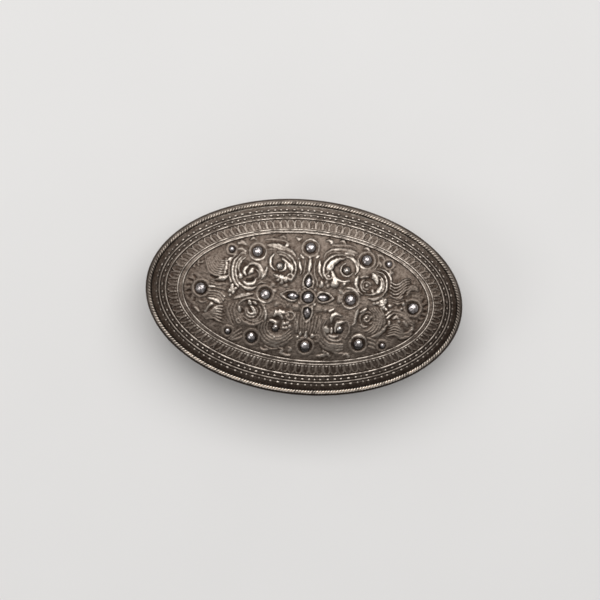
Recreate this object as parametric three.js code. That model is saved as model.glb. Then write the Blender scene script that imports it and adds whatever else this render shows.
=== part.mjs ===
// An oval silver lime container: a shallow base with a lining collar, and a slip-on lid whose crown
// carries applied wires, beaded wires and polished domed bosses. Millimetres, +Z up. The origin is on
// the table, under the middle of the box. X runs along the length and Y across the width.
import * as THREE from "three";

// Driving dimensions
const HALF_LENGTH = 50;
const HALF_WIDTH = 30.8;
const SHEET = 0.8;
const SOLDER_GAP = 0.1;
const SLIP_GAP = 0.25;
const MOUTH_Z = 17.8;
const SEGMENTS = 56;

// Insets, measured inwards from the outermost edge of the box
const LID_WALL_INSET = 2.2;
const COLLAR_INSET = LID_WALL_INSET + SHEET + SLIP_GAP;
const MOULDING_BACK_INSET = LID_WALL_INSET - SOLDER_GAP;
const BASE_MOULDING_INSET = 0.15;
const BELLY_INSET = 1;
const WALL_BOTTOM_INSET = 3.2;
const PLATE_INSET = 3;
const FOOT_INSET = 4.2;
const FOOT_SPLAY = 0.4;
const FOOT_WIDTH = 1.2;
const PETAL_END_INSET = 10;
const PANEL_INSET = 11.3;

// Heights
const FOOT_HEIGHT = 1.4;
const PLATE_Z = FOOT_HEIGHT + SOLDER_GAP;
const WALL_Z = PLATE_Z + SHEET + SOLDER_GAP;
const WALL_TOP_Z = MOUTH_Z - SOLDER_GAP;
const BELLY_Z = 9.6;
const NECK_Z = 15.6;
const COLLAR_BOTTOM_Z = 8;
const COLLAR_TOP_Z = 22;
const LID_WALL_Z = MOUTH_Z + SOLDER_GAP;
const LID_WALL_TOP_Z = 23.2;
const MOULDING_HEIGHT = 2.1;
const CROWN_EDGE_Z = LID_WALL_TOP_Z + SOLDER_GAP;
const CROWN_EDGE_THICKNESS = 0.6;
const CROWN_RISE = 3.2;
const CROWN_CURVE = 0.43;
const PANEL_EDGE_Z = CROWN_EDGE_Z + CROWN_EDGE_THICKNESS + CROWN_RISE;
const PANEL_RISE = 2.8;

// At its two ends the panel lies further in than at its sides
const PANEL_END_DRAW = 0.85;
const PANEL_HALF_LENGTH = HALF_LENGTH - PANEL_INSET - PANEL_END_DRAW;
const PANEL_HALF_WIDTH = HALF_WIDTH - PANEL_INSET;

// The maker laid the panel out a little to the right of the middle and towards the back
const PANEL_SHIFT = new THREE.Vector2(0.55, 0.35);

const silver = new THREE.MeshStandardMaterial({ color: 0x8f867c, roughness: 0.36, metalness: 1 });
const brightSilver = new THREE.MeshStandardMaterial({ color: 0xd2cfca, roughness: 0.12, metalness: 1 });
const innerSilver = new THREE.MeshStandardMaterial({ color: 0xb3aca2, roughness: 0.45, metalness: 1 });

const box = new THREE.Group();
const base = new THREE.Group();
const lid = new THREE.Group();
box.add(base, lid);

function addPiece(group, name, geometry, material) {
  const mesh = new THREE.Mesh(geometry, material);
  mesh.name = name;
  group.add(mesh);
  return mesh;
}

// How far an inset lies from the crown's edge, 0, to the panel's edge, 1
function wayToPanel(inset) {
  return THREE.MathUtils.clamp((inset - LID_WALL_INSET) / (PANEL_INSET - LID_WALL_INSET), 0, 1);
}

// How much further in a ring lies at its two ends. It starts where the petals end.
function endDraw(inset) {
  const way = (inset - PETAL_END_INSET) / (PANEL_INSET - PETAL_END_INSET);
  return PANEL_END_DRAW * THREE.MathUtils.clamp(way, 0, 1);
}

// Turns a profile about Z, then draws the round ring out along X into the box's oval. Outside the
// petals every ring keeps the same inset all the way round. Inside the panel the rings shrink to the
// centre. On the crown, the rings are shifted more and more with the panel as they go inwards. A wire
// is given the inset of its middle, so that its section stays round.
function ovalTurned(profile, onCrown = false, middleInset = null) {
  const geometry = new THREE.LatheGeometry(profile, SEGMENTS);
  geometry.rotateX(Math.PI / 2);
  const position = geometry.getAttribute("position");
  for (let i = 0; i < position.count; i++) {
    const x = position.getX(i);
    const y = position.getY(i);
    const radius = Math.hypot(x, y);
    const inset = middleInset ?? HALF_WIDTH - radius;
    const stretch =
      radius > PANEL_HALF_WIDTH
        ? (radius + HALF_LENGTH - HALF_WIDTH - endDraw(inset)) / radius
        : PANEL_HALF_LENGTH / PANEL_HALF_WIDTH;
    const shift = onCrown ? wayToPanel(inset) : 0;
    position.setX(i, x * stretch + PANEL_SHIFT.x * shift);
    position.setY(i, y + PANEL_SHIFT.y * shift);
  }
  geometry.computeVertexNormals();
  return geometry;
}

const at = (inset, z) => new THREE.Vector2(HALF_WIDTH - inset, z);
const onAxis = (z) => new THREE.Vector2(0, z);

// A closed profile, given as points that run up the outside and back down the inside
function ring(points, onCrown, middleInset) {
  return ovalTurned([...points, points[0]], onCrown, middleInset);
}

function strip(inset, bottom, top) {
  return ring([at(inset, bottom), at(inset, top), at(inset + SHEET, top), at(inset + SHEET, bottom)]);
}

// A half-round moulding with its flat side inwards
function moulding(outerInset, bottom) {
  const steps = 6;
  const depth = MOULDING_BACK_INSET - outerInset;
  const points = [];
  for (let i = 0; i <= steps; i++) {
    const a = Math.PI * (i / steps - 0.5);
    const z = bottom + (MOULDING_HEIGHT / 2) * (1 + Math.sin(a));
    points.push(at(MOULDING_BACK_INSET - depth * Math.sqrt(Math.max(Math.cos(a), 0)), z));
  }
  return ring(points);
}

function roundWire(inset, z, radius, sides, onCrown) {
  const points = [];
  for (let i = 0; i < sides; i++) {
    const a = (2 * Math.PI * i) / sides;
    points.push(at(inset - radius * Math.cos(a), z + radius * Math.sin(a)));
  }
  return ring(points, onCrown, inset);
}

// Base

function footRim() {
  return ring([
    at(FOOT_INSET - FOOT_SPLAY, 0),
    at(FOOT_INSET, FOOT_HEIGHT),
    at(FOOT_INSET + FOOT_WIDTH, FOOT_HEIGHT),
    at(FOOT_INSET + FOOT_WIDTH, 0),
  ]);
}

function basePlate() {
  return ovalTurned([
    onAxis(PLATE_Z),
    at(PLATE_INSET, PLATE_Z),
    at(PLATE_INSET, PLATE_Z + SHEET),
    onAxis(PLATE_Z + SHEET),
  ]);
}

// The wall bellies out from the plate, draws in to the neck and rises straight to the mouth
function wallInset(z) {
  if (z >= NECK_Z) return LID_WALL_INSET;
  const [endZ, endInset] = z < BELLY_Z ? [WALL_Z, WALL_BOTTOM_INSET] : [NECK_Z, LID_WALL_INSET];
  return BELLY_INSET + (endInset - BELLY_INSET) * ((z - BELLY_Z) / (endZ - BELLY_Z)) ** 2;
}

function baseWall() {
  const steps = 8;
  const outside = [];
  const inside = [];
  for (let i = 0; i <= steps; i++) {
    const z = WALL_Z + ((NECK_Z - WALL_Z) * i) / steps;
    outside.push(at(wallInset(z), z));
    inside.unshift(at(wallInset(z) + SHEET, z));
  }
  const mouth = [at(LID_WALL_INSET, WALL_TOP_Z), at(LID_WALL_INSET + SHEET, WALL_TOP_Z)];
  return ring([...outside, ...mouth, ...inside]);
}

addPiece(base, "foot_rim", footRim(), silver);
addPiece(base, "base_plate", basePlate(), innerSilver);
addPiece(base, "base_wall", baseWall(), silver);
const baseMoulding = moulding(BASE_MOULDING_INSET, WALL_TOP_Z - MOULDING_HEIGHT);
addPiece(base, "base_rim_moulding", baseMoulding, silver);
addPiece(base, "inner_collar", strip(COLLAR_INSET, COLLAR_BOTTOM_Z, COLLAR_TOP_Z), innerSilver);

// Lid

// The crown's surface: between its edge and the panel, and on the panel at a share of the way out
function crownHeight(inset) {
  const share = 1 - wayToPanel(inset);
  return PANEL_EDGE_Z - CROWN_RISE * share * (1 - CROWN_CURVE + CROWN_CURVE * share);
}

function panelHeight(share) {
  return PANEL_EDGE_Z + PANEL_RISE * (1 - share * share);
}

// Points on the crown from an inset near its edge to its centre, lowered by a drop
function crownProfile(firstInset, bandSteps, panelSteps, drop) {
  const points = [];
  for (let i = 0; i < bandSteps; i++) {
    const inset = firstInset + ((PANEL_INSET - firstInset) * i) / bandSteps;
    points.push(at(inset, crownHeight(inset) - drop));
  }
  for (let i = panelSteps; i >= 0; i--) {
    const share = i / panelSteps;
    points.push(new THREE.Vector2(PANEL_HALF_WIDTH * share, panelHeight(share) - drop));
  }
  return points;
}

function lidCrown() {
  const top = crownProfile(LID_WALL_INSET, 5, 4, 0);
  const underside = crownProfile(LID_WALL_INSET + SHEET, 3, 2, SHEET).reverse();
  return ovalTurned([...underside, at(LID_WALL_INSET, CROWN_EDGE_Z), ...top], true);
}

const ROPE_RADIUS = 0.65;
const ROPE_INSET = LID_WALL_INSET - SOLDER_GAP - ROPE_RADIUS;
const ROPE_Z = 22.7;
const ROPE_SIDES = 8;
const WIRE_SIDES = 6;
const PLAIN_RADIUS = 0.3;
const BEAD_RADIUS = 0.38;

addPiece(lid, "lid_wall", strip(LID_WALL_INSET, LID_WALL_Z, LID_WALL_TOP_Z), silver);
addPiece(lid, "lid_mouth_moulding", moulding(0, LID_WALL_Z), silver);
addPiece(lid, "lid_crown", lidCrown(), silver);
const rope = roundWire(ROPE_INSET, ROPE_Z, ROPE_RADIUS, ROPE_SIDES, false);
addPiece(lid, "lid_rope_wire", rope, silver);

// Wires soldered on the crown, from the edge inwards: name, inset and radius
const CROWN_WIRES = [
  ["outer_beaded_wire", 3.65, BEAD_RADIUS],
  ["wire_between_beads", 4.5, PLAIN_RADIUS],
  ["inner_beaded_wire", 5.4, BEAD_RADIUS],
  ["petal_band_outer_wire", 6.4, PLAIN_RADIUS],
  ["petal_band_inner_wire", PETAL_END_INSET, PLAIN_RADIUS],
  ["panel_frame_wire", 10.9, PLAIN_RADIUS],
];
for (const [name, inset, radius] of CROWN_WIRES) {
  const z = crownHeight(inset) + radius + 1.5 * SOLDER_GAP;
  addPiece(lid, name, roundWire(inset, z, radius, WIRE_SIDES, true), silver);
}

// Bosses: polished solid domes standing on the panel, square to its curve

const DOME_RINGS = 4;
const DOME_SIDES = 12;

function dome(radius, height) {
  const profile = [onAxis(0)];
  for (let i = 0; i < DOME_RINGS; i++) {
    const a = (Math.PI / 2) * (i / DOME_RINGS);
    profile.push(new THREE.Vector2(radius * Math.cos(a), height * Math.sin(a)));
  }
  profile.push(onAxis(height));
  return new THREE.LatheGeometry(profile, DOME_SIDES).rotateX(Math.PI / 2);
}

// A dome drawn out along X to two points
function leafDome(halfLength, halfWidth, height) {
  const geometry = dome(1, height);
  const position = geometry.getAttribute("position");
  for (let i = 0; i < position.count; i++) {
    const y = position.getY(i);
    position.setX(i, position.getX(i) * halfLength);
    position.setY(i, y * halfWidth * Math.sqrt(Math.abs(y)));
  }
  return geometry;
}

function addBoss(name, x, y, geometry, turn = 0) {
  const mesh = addPiece(lid, name, geometry, brightSilver);
  const across = (x - PANEL_SHIFT.x) / PANEL_HALF_LENGTH;
  const up = (y - PANEL_SHIFT.y) / PANEL_HALF_WIDTH;
  const share = Math.hypot(across, up);
  const slopeX = (2 * PANEL_RISE * across) / PANEL_HALF_LENGTH;
  const slopeY = (2 * PANEL_RISE * up) / PANEL_HALF_WIDTH;
  const normal = new THREE.Vector3(slopeX, slopeY, 1).normalize();
  mesh.position.set(x, y, panelHeight(share)).addScaledVector(normal, SOLDER_GAP);
  const lean = new THREE.Quaternion().setFromUnitVectors(new THREE.Vector3(0, 0, 1), normal);
  const spin = new THREE.Quaternion().setFromAxisAngle(new THREE.Vector3(0, 0, 1), turn);
  mesh.quaternion.copy(lean.multiply(spin));
}

// Round bosses: name, x, y, radius and height. The maker's layout sits a little right of the middle.
const ROUND_BOSSES = [
  ["boss_centre", 1.2, 0.3, 1.95, 1.6],
  ["boss_top", 0.6, 15.7, 1.85, 1.5],
  ["boss_bottom", 1.7, -15, 2.05, 1.7],
  ["boss_left", -32.3, 0, 1.95, 1.6],
  ["boss_right", 34.1, 0, 1.9, 1.5],
  ["boss_mid_left", -12.1, 0, 1.8, 1.4],
  ["boss_mid_right", 14.4, 0.8, 1.9, 1.5],
  ["boss_upper_left", -15.7, 13, 1.85, 1.5],
  ["boss_upper_right", 18.4, 13.5, 1.85, 1.5],
  ["boss_lower_left", -15.2, -13.8, 1.85, 1.6],
  ["boss_lower_right", 18.2, -12.8, 1.95, 1.7],
  ["eye_upper_left", -8.4, 9.1, 1.35, 1.1],
  ["eye_upper_right", 12.4, 9.8, 1.35, 1.1],
  ["eye_lower_left", -8, -10.1, 1.4, 1.2],
  ["eye_lower_right", 11.9, -8.7, 1.4, 1.2],
  ["stud_upper_left", -23.8, 13, 1.05, 0.9],
  ["stud_upper_right", 25.4, 12.9, 1.05, 0.9],
  ["stud_lower_left", -22.7, -12.6, 1.15, 1],
  ["stud_lower_right", 25.7, -12.6, 1.1, 1],
];
for (const [name, x, y, radius, height] of ROUND_BOSSES) addBoss(name, x, y, dome(radius, height));

// Leaf bosses: name, x, y and turn. They cross at the centre boss.
const LEAF_HALF_LENGTH = 2.1;
const LEAF_HALF_WIDTH = 1.2;
const LEAF_HEIGHT = 1.1;
const LEAF_BOSSES = [
  ["leaf_right", 5.9, 0.6, 0],
  ["leaf_top", 1, 5, Math.PI / 2],
  ["leaf_left", -3.5, 0.3, 0],
  ["leaf_bottom", 1.4, -4.5, Math.PI / 2],
];
for (const [name, x, y, turn] of LEAF_BOSSES)
  addBoss(name, x, y, leafDome(LEAF_HALF_LENGTH, LEAF_HALF_WIDTH, LEAF_HEIGHT), turn);

export default box;
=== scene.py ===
# The looks of an oval silver lime container: chased crown, soldered wires, polished bosses and plain
# hammered walls. Lengths are in millimetres until a mesh is made. An inset is how far a line round the
# box lies inside its widest outline. Angles are in radians, but in degrees in the ornament.
import math

import bpy
import numpy as np
from mathutils import Matrix, Vector, noise


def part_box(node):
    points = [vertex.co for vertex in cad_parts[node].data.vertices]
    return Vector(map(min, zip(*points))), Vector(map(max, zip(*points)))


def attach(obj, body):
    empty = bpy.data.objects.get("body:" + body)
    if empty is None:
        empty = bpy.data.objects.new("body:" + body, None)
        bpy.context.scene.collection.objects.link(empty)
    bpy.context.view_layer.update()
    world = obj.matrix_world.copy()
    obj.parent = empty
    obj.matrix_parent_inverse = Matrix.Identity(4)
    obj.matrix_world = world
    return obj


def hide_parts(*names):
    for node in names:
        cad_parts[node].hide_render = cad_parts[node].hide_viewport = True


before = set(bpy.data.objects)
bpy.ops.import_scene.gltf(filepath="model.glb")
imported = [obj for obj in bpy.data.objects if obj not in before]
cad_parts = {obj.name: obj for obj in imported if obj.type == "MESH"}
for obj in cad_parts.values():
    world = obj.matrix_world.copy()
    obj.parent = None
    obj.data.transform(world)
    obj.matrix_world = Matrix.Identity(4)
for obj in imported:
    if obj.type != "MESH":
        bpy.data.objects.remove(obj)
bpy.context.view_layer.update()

MM = 0.001
FULL_TURN = 2 * np.pi
RANDOM_SEED = 11
rng = np.random.default_rng(RANDOM_SEED)
BOSSES = [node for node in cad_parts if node.startswith(("boss", "eye", "stud", "leaf"))]


# Sizes, from the frame

def box_mm(node):
    """The lowest and highest corner of a CAD node"""
    low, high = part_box(node)
    return np.array(low) / MM, np.array(high) / MM


def middle_of(node):
    """A node's middle seen from above, to a tenth of a millimetre"""
    low, high = box_mm(node)
    return np.round((low[:2] + high[:2]) / 2, 1)


HALF_LENGTH, HALF_WIDTH = box_mm("lid_mouth_moulding")[1][:2]


def outer_inset(node):
    """The inset of a node's outer side"""
    return HALF_WIDTH - box_mm(node)[1][1]


def wire_inset(node):
    """The inset of a wire's middle, which may be shifted from the box's middle"""
    low, high = box_mm(node)
    return HALF_WIDTH - (high[1] - low[1]) / 2 + (high[2] - low[2]) / 2


SHEET = 0.8
CROWN_INSET = outer_inset("lid_crown")
CROWN_BOTTOM_Z = box_mm("lid_crown")[0][2]
CROWN_RISE = 3.2
CROWN_CURVE = 0.43
PANEL_RISE = 2.8
PANEL_EDGE_Z = box_mm("lid_crown")[1][2] - PANEL_RISE
PANEL_INSET = 11.3
PANEL_END_DRAW = 0.85
PANEL_HALF_LENGTH = HALF_LENGTH - PANEL_INSET - PANEL_END_DRAW
PANEL_HALF_WIDTH = HALF_WIDTH - PANEL_INSET
PETAL_END_INSET = 10
SEAM_INSET = wire_inset("panel_frame_wire")


def way_to_panel(inset):
    """How far an inset lies from the crown's edge, 0, to the panel's edge, 1"""
    return np.clip((inset - CROWN_INSET) / (PANEL_INSET - CROWN_INSET), 0, 1)


frame_wire_low, frame_wire_high = box_mm("panel_frame_wire")
PANEL_SHIFT = (frame_wire_low[:2] + frame_wire_high[:2]) / 2 / way_to_panel(SEAM_INSET)


def crown_height(inset):
    """Height of the crown between its edge and the panel"""
    share = 1 - way_to_panel(inset)
    return PANEL_EDGE_Z - CROWN_RISE * share * (1 - CROWN_CURVE + CROWN_CURVE * share)


def panel_place(x, y):
    """A place on the panel, as shares of its half-length and half-width from its middle"""
    return (x - PANEL_SHIFT[0]) / PANEL_HALF_LENGTH, (y - PANEL_SHIFT[1]) / PANEL_HALF_WIDTH


def panel_height(x, y):
    across, up = panel_place(x, y)
    return PANEL_EDGE_Z + PANEL_RISE * (1 - across**2 - up**2)


def panel_normal(x, y):
    across, up = panel_place(x, y)
    slope_x = 2 * PANEL_RISE * across / PANEL_HALF_LENGTH
    slope_y = 2 * PANEL_RISE * up / PANEL_HALF_WIDTH
    return Vector((slope_x, slope_y, 1)).normalized()


def oval(inset, angles, on_crown=False):
    """Points round the box at an inset. Inside the panel the ovals shrink to the axis."""
    across = HALF_WIDTH - inset
    way = np.clip((inset - PETAL_END_INSET) / (PANEL_INSET - PETAL_END_INSET), 0, 1)
    along = HALF_LENGTH - inset - PANEL_END_DRAW * way
    if across < PANEL_HALF_WIDTH:
        along = across * PANEL_HALF_LENGTH / PANEL_HALF_WIDTH
    shift = way_to_panel(inset) * PANEL_SHIFT if on_crown else np.zeros(2)
    return shift[0] + along * np.cos(angles), shift[1] + across * np.sin(angles)


# Meshes

def turns_of(count):
    """Angles spread evenly round a full turn"""
    return np.linspace(0, FULL_TURN, count, endpoint=False)


def grid_faces(rows, columns, wrap_rows=False, wrap_columns=True):
    """Four-sided faces over a grid of points, numbered row by row"""
    i = np.arange(rows if wrap_rows else rows - 1)
    j = np.arange(columns if wrap_columns else columns - 1)
    i, j = np.meshgrid(i, j, indexing="ij")
    after, beside = (i + 1) % rows, (j + 1) % columns
    corners = [i * columns + j, i * columns + beside, after * columns + beside, after * columns + j]
    return np.stack(corners, -1).reshape(-1, 4)


def fan_faces(ring, tip):
    """Triangles from a closed ring of point numbers to one point"""
    return [[a, b, tip] for a, b in zip(ring, np.roll(ring, -1))]


def outwards(points, faces):
    """The faces, all turned over if they enclose a negative volume"""
    volume = 0.0
    for corners in faces:
        p = points[np.asarray(corners)]
        for k in range(1, p.shape[-2] - 1):
            triangle_volumes = np.einsum("...i,...i", p[..., 0, :], np.cross(p[..., k, :], p[..., k + 1, :]))
            volume += triangle_volumes.sum()
    return [np.asarray(f)[..., ::-1] if volume < 0 else np.asarray(f) for f in faces]


def make_piece(name, points, faces, body, node, material):
    """A smooth mesh that rides on a body and stands for a CAD node. Faces come in groups of one size each."""
    points = np.asarray(points, float)
    faces = outwards(points, faces)
    mesh = bpy.data.meshes.new(name)
    mesh.from_pydata((points * MM).tolist(), [], [f for group in faces for f in group.tolist()])
    mesh.shade_smooth()
    mesh.materials.append(material)
    piece = bpy.data.objects.new(name, mesh)
    bpy.context.scene.collection.objects.link(piece)
    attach(piece, body)
    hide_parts(node)
    return piece


def add_values(piece, name, values):
    """A number at each point of a piece, which its material reads. The points after the last value get 0."""
    padded = np.zeros(len(piece.data.vertices), np.float32)
    padded[:len(values)] = values
    attribute = piece.data.attributes.new(name, "FLOAT", "POINT")
    attribute.data.foreach_set("value", padded)


def rounded(corners, radius, steps=4):
    """A closed outline of (inset, height) corners, each rounded over less than half of its edges"""
    most = 0.45
    corners = np.asarray(corners, float)
    points = []
    for before, corner, after in zip(np.roll(corners, 1, axis=0), corners, np.roll(corners, -1, axis=0)):
        start, end = (corner + edge / np.hypot(*edge) * min(radius, most * np.hypot(*edge))
                      for edge in (before - corner, after - corner))
        for t in np.linspace(0, 1, steps):
            points.append((1 - t) ** 2 * start + 2 * t * (1 - t) * corner + t**2 * end)
    return np.array(points)


def swell(angles, size, waves=(2, 3, 5, 8)):
    """A slow unevenness round the box, as hand work leaves"""
    total = np.zeros_like(angles)
    for wave in waves:
        total += np.sin(wave * angles + rng.uniform(0, FULL_TURN)) / wave
    return size * total


def ring_painted_light(points, back, ends, front):
    """Painted light round a ring, from its values at the back, the two ends and the front, as the light falls
    on the box
    """
    x, y = points[:, 0] / HALF_LENGTH, points[:, 1] / HALF_WIDTH
    up = y / np.hypot(x, y)
    return back * np.clip(up, 0, 1) + front * np.clip(-up, 0, 1) + ends * (1 - np.abs(up))


# Painted light on plain walls and mouldings at their back, their two ends and their front; the mouldings are
# painted dark as shade where it is low, at the front
WALL_PAINTED_LIGHT = (1, 0.55, 0)


def oval_ring(name, outline, material, body, node, columns=300, unevenness=0.03):
    """A closed outline of (inset, height) points carried round the box"""
    angles = turns_of(columns)
    lift = swell(angles, unevenness)
    points = np.vstack([np.column_stack([*oval(inset, angles), height + lift]) for inset, height in outline])
    faces = grid_faces(len(outline), columns, wrap_rows=True)
    piece = make_piece(name, points, [faces], body, node, material)
    add_values(piece, "shine", ring_painted_light(points, *WALL_PAINTED_LIGHT))


# Lines and unevenness

def near(value, middle, width):
    """1 at the middle, falling smoothly to 0 on both sides"""
    return np.exp(-(((value - middle) / width) ** 2))


def curve(points, per_span=8):
    """A smooth line through the points"""
    p = np.asarray(points, float)
    ends = np.vstack([2 * p[0] - p[1], p, 2 * p[-1] - p[-2]])
    t = np.linspace(0, 1, per_span, endpoint=False)[:, None]
    spans = []
    for a, b, c, d in zip(ends, ends[1:], ends[2:], ends[3:]):
        bend = (2 * a - 5 * b + 4 * c - d) * t**2 + (3 * b - a - 3 * c + d) * t**3
        spans.append(b + 0.5 * ((c - a) * t + bend))
    return np.vstack(spans + [p[-1:]])


def arc(x, y, radii, angles):
    """An arc or spiral about a point, from the first radius and angle to the second"""
    degrees_per_step = 9
    steps = max(8, int(abs(angles[1] - angles[0]) / degrees_per_step))
    a = np.radians(np.linspace(*angles, steps))
    r = np.linspace(*radii, steps)
    return np.column_stack([x + r * np.cos(a), y + r * np.sin(a)])


def mottle(x, y, size, seed):
    """Smooth random unevenness from -1 to 1, with lumps of a size"""
    return np.array([noise.noise((a / size, b / size, seed)) for a, b in zip(x, y)])


def lumps(x, y, layers):
    """Layers of unevenness, each given as its depth, lump size and seed"""
    return sum(depth * mottle(x, y, size, seed) for depth, size, seed in layers)


def blurred(values, reach):
    """Each value's mean over a square of its neighbours"""
    size = 2 * reach + 1
    for axis in (0, 1):
        padding = [(reach + 1, reach) if a == axis else (0, 0) for a in (0, 1)]
        sums = np.pad(values, padding, mode="edge").cumsum(axis)
        count = sums.shape[axis]
        values = (np.take(sums, range(size, count), axis) - np.take(sums, range(count - size), axis)) / size
    return values


# Ornament

class Relief:
    """Raised and cut work over the points x, y, and how brightly each point shines: wear on the raised work
    and painted highlights where the light falls
    """

    HEIGHT = 0.85
    WIDTH = 1.3
    RIM_WIDTH = 0.17
    RIM_DEPTH = 0.07
    VEIN_WIDTH = 0.3
    TOOTH_DEPTH = 0.15
    LUMP_SIZE = 0.9
    LUMP_SEED = 8
    UNEVEN_WIDTH = 0.22
    UNEVEN_SHINE = 0.7
    SHINE_CREST = 1.25
    GROOVE_DULLING = 0.8
    GROOVE_FADE = 1 / 6
    SEAT_WIDTH = 0.38
    SEAT_HEIGHT = 0.21
    SEAT_SHINE = 0.75
    LIT_WIDTHS = (0.2, 0.42, 0.2)
    LIT_HEIGHT = 0.28
    LIT_SHINES = (0.3, 0.8, 0.3)
    DOT_LENGTH = 0.01

    def __init__(self, x, y):
        self.x = x
        self.y = y
        self.z = np.zeros(len(x))
        self.swollen = np.zeros(len(x))
        self.shine = np.zeros(len(x))
        self.unevenness = mottle(x, y, self.LUMP_SIZE, self.LUMP_SEED)

    def measure(self, line, reach):
        """Which points lie near the line, how far off it they are, and how far along it, from 0 to 1"""
        low, high = line.min(0) - reach, line.max(0) + reach
        inside = (self.x > low[0]) & (self.x < high[0]) & (self.y > low[1]) & (self.y < high[1])
        close = np.flatnonzero(inside)
        px, py = self.x[close], self.y[close]
        best = np.full(len(close), np.inf)
        share = np.zeros(len(close))
        lengths = np.maximum(np.hypot(*np.diff(line, axis=0).T), 1e-9)
        start = 0.0
        for (ax, ay), (bx, by), length in zip(line, line[1:], lengths):
            t = np.clip(((px - ax) * (bx - ax) + (py - ay) * (by - ay)) / length**2, 0, 1)
            d = np.hypot(px - ax - t * (bx - ax), py - ay - t * (by - ay))
            closer = d < best
            best[closer] = d[closer]
            share[closer] = (start + t[closer] * length) / lengths.sum()
            start += length
        return close, best, share

    def raise_line(self, line, widths, height, shine=0.4, rim=1.0, crest=0.8, vein=0.0, teeth=0):
        """A rounded ridge on the line. Half-widths and shine are spread evenly along it, a vein splits it,
        and teeth notch its edges."""
        widths = np.atleast_1d(widths).astype(float) * self.WIDTH
        shines = np.atleast_1d(shine).astype(float)
        close, off, share = self.measure(line, widths.max() + 3 * self.RIM_WIDTH)
        uneven = self.unevenness[close]
        width = np.interp(share, np.linspace(0, 1, len(widths)), widths) * (1 + self.UNEVEN_WIDTH * uneven)
        if teeth:
            width *= 1 - self.TOOTH_DEPTH * (1 - np.cos(FULL_TURN * teeth * share))
        across = off / width
        rounding = np.clip(1 - across**2, 0, None)
        split = 1 - vein * near(across, 0, self.VEIN_WIDTH)
        body = height * self.HEIGHT * rounding**crest * split
        edge = rim * self.RIM_DEPTH * near(off, width + self.RIM_WIDTH / 2, self.RIM_WIDTH)
        self.z[close] = np.maximum(self.z[close] - edge, body)
        # Shine is wear on the raised work and partly painted highlight, set higher on strokes where the light
        # falls
        bright = np.interp(share, np.linspace(0, 1, len(shines)), shines)
        bright *= rounding ** (self.SHINE_CREST * crest) * split * (1 + self.UNEVEN_SHINE * uneven)
        self.shine[close] = np.maximum(self.shine[close], bright)

    def ridge(self, points, widths, height, shine=0.4, **how):
        """A smooth ridge through given points"""
        self.raise_line(curve(points), widths, height, shine, **how)

    def arc(self, x, y, radii, angles, widths, height, shine=0.4, **how):
        """A ridge on an arc or spiral"""
        self.raise_line(arc(x, y, radii, angles), widths, height, shine, **how)

    def dot(self, x, y, radius, height, shine=0.5):
        """A round bead, laid as a very short line"""
        line = np.array([[x, y], [x, y + self.DOT_LENGTH]])
        self.raise_line(line, radius, height, shine, rim=0.8, crest=0.7)

    def groove(self, points, width, depth):
        """A cut that fades out at both ends"""
        close, off, share = self.measure(curve(points), 3 * width)
        fade = np.clip(np.minimum(share, 1 - share) / self.GROOVE_FADE, 0, 1) * near(off, 0, width)
        self.z[close] -= depth * fade
        self.shine[close] *= 1 - self.GROOVE_DULLING * fade

    def seat(self, node, radius, lit=None, shine=0.3):
        """The low ring that a boss sits in, with a painted highlight on it between two angles"""
        x, y = middle_of(node)
        self.arc(x, y, (radius, radius), (0, 360), self.SEAT_WIDTH, self.SEAT_HEIGHT, self.SEAT_SHINE * shine)
        if lit:
            self.arc(x, y, (radius, radius), lit, self.LIT_WIDTHS, self.LIT_HEIGHT, self.LIT_SHINES)

    def swelling(self, x, y, radius, width, height):
        """A wide soft ring, or a round hill with no radius, under what is laid on it"""
        self.swollen += height * near(np.hypot(self.x - x, self.y - y), radius, width)


def swellings(r):
    """The soft bowls that the scrolls lie in, with raised rims"""
    for x, y, radius in ((-7.6, 9.4, 4), (-18, 6.2, 4.6), (10.3, 9.8, 4.4), (19.8, 5.8, 4.2),
                         (-7.6, -9.6, 4), (-16, -5.7, 4.2), (10.6, -9.2, 4.2), (20.2, -4.7, 4.2)):
        r.swelling(x, y, radius, 1.7, 0.32)
    for x, y in ((-29.5, 6.5), (31, 6.5), (-29.5, -5.8), (31, -6)):
        r.swelling(x, y, 0, 3.2, 0.3)
    for x, y in ((0.8, 9.5), (1.5, -9), (-10.2, 15), (10.8, 15.5), (-9, -15), (10, -15)):
        r.swelling(x, y, 0, 2.2, 0.2)


def end_leaves(r):
    """The seats of the two end bosses, and the leaves between them and the wings"""
    r.seat("boss_left", 2.6, shine=0.12)
    r.seat("boss_right", 2.6, shine=0.12)
    r.ridge([(-29.7, 0.8), (-28.2, 0.8)], (0.4, 0.45, 0.4), 0.4, (0.9, 1, 0.7))
    r.ridge([(-28, 0.7), (-26.4, 0.5), (-24.8, 0.2)], (0.25, 0.35, 0.15), 0.26, 0.15)
    for k in range(3):
        r.ridge([(-29.8 + 0.1 * k, -0.6 - 0.75 * k), (-27.8, -0.5 - 0.85 * k),
                 (-26.2 - 0.1 * k, -1 - 0.85 * k), (-24.8 - 0.3 * k, -2 - 1.0 * k)],
                (0.25, 0.38, 0.38, 0.35), 0.34, (0.25, 0.3, 0.25, 0.8 - 0.35 * k))
        r.ridge([(-29.4 + 0.2 * k, 1.8 + 0.7 * k), (-27.2, 1.6 + 0.6 * k), (-25.2, 1.9 + 0.5 * k)],
                (0.2, 0.34, 0.2), 0.24, 0.12)
        for side in (-1, 1):
            r.ridge([(31.2 - 0.2 * k, side * (1.6 + 0.8 * k)), (29.4 - 0.2 * k, side * (0.9 + 0.75 * k)),
                     (27.9, side * (1.2 + 0.7 * k))], (0.2, 0.36, 0.2), 0.26, 0.12)


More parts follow.
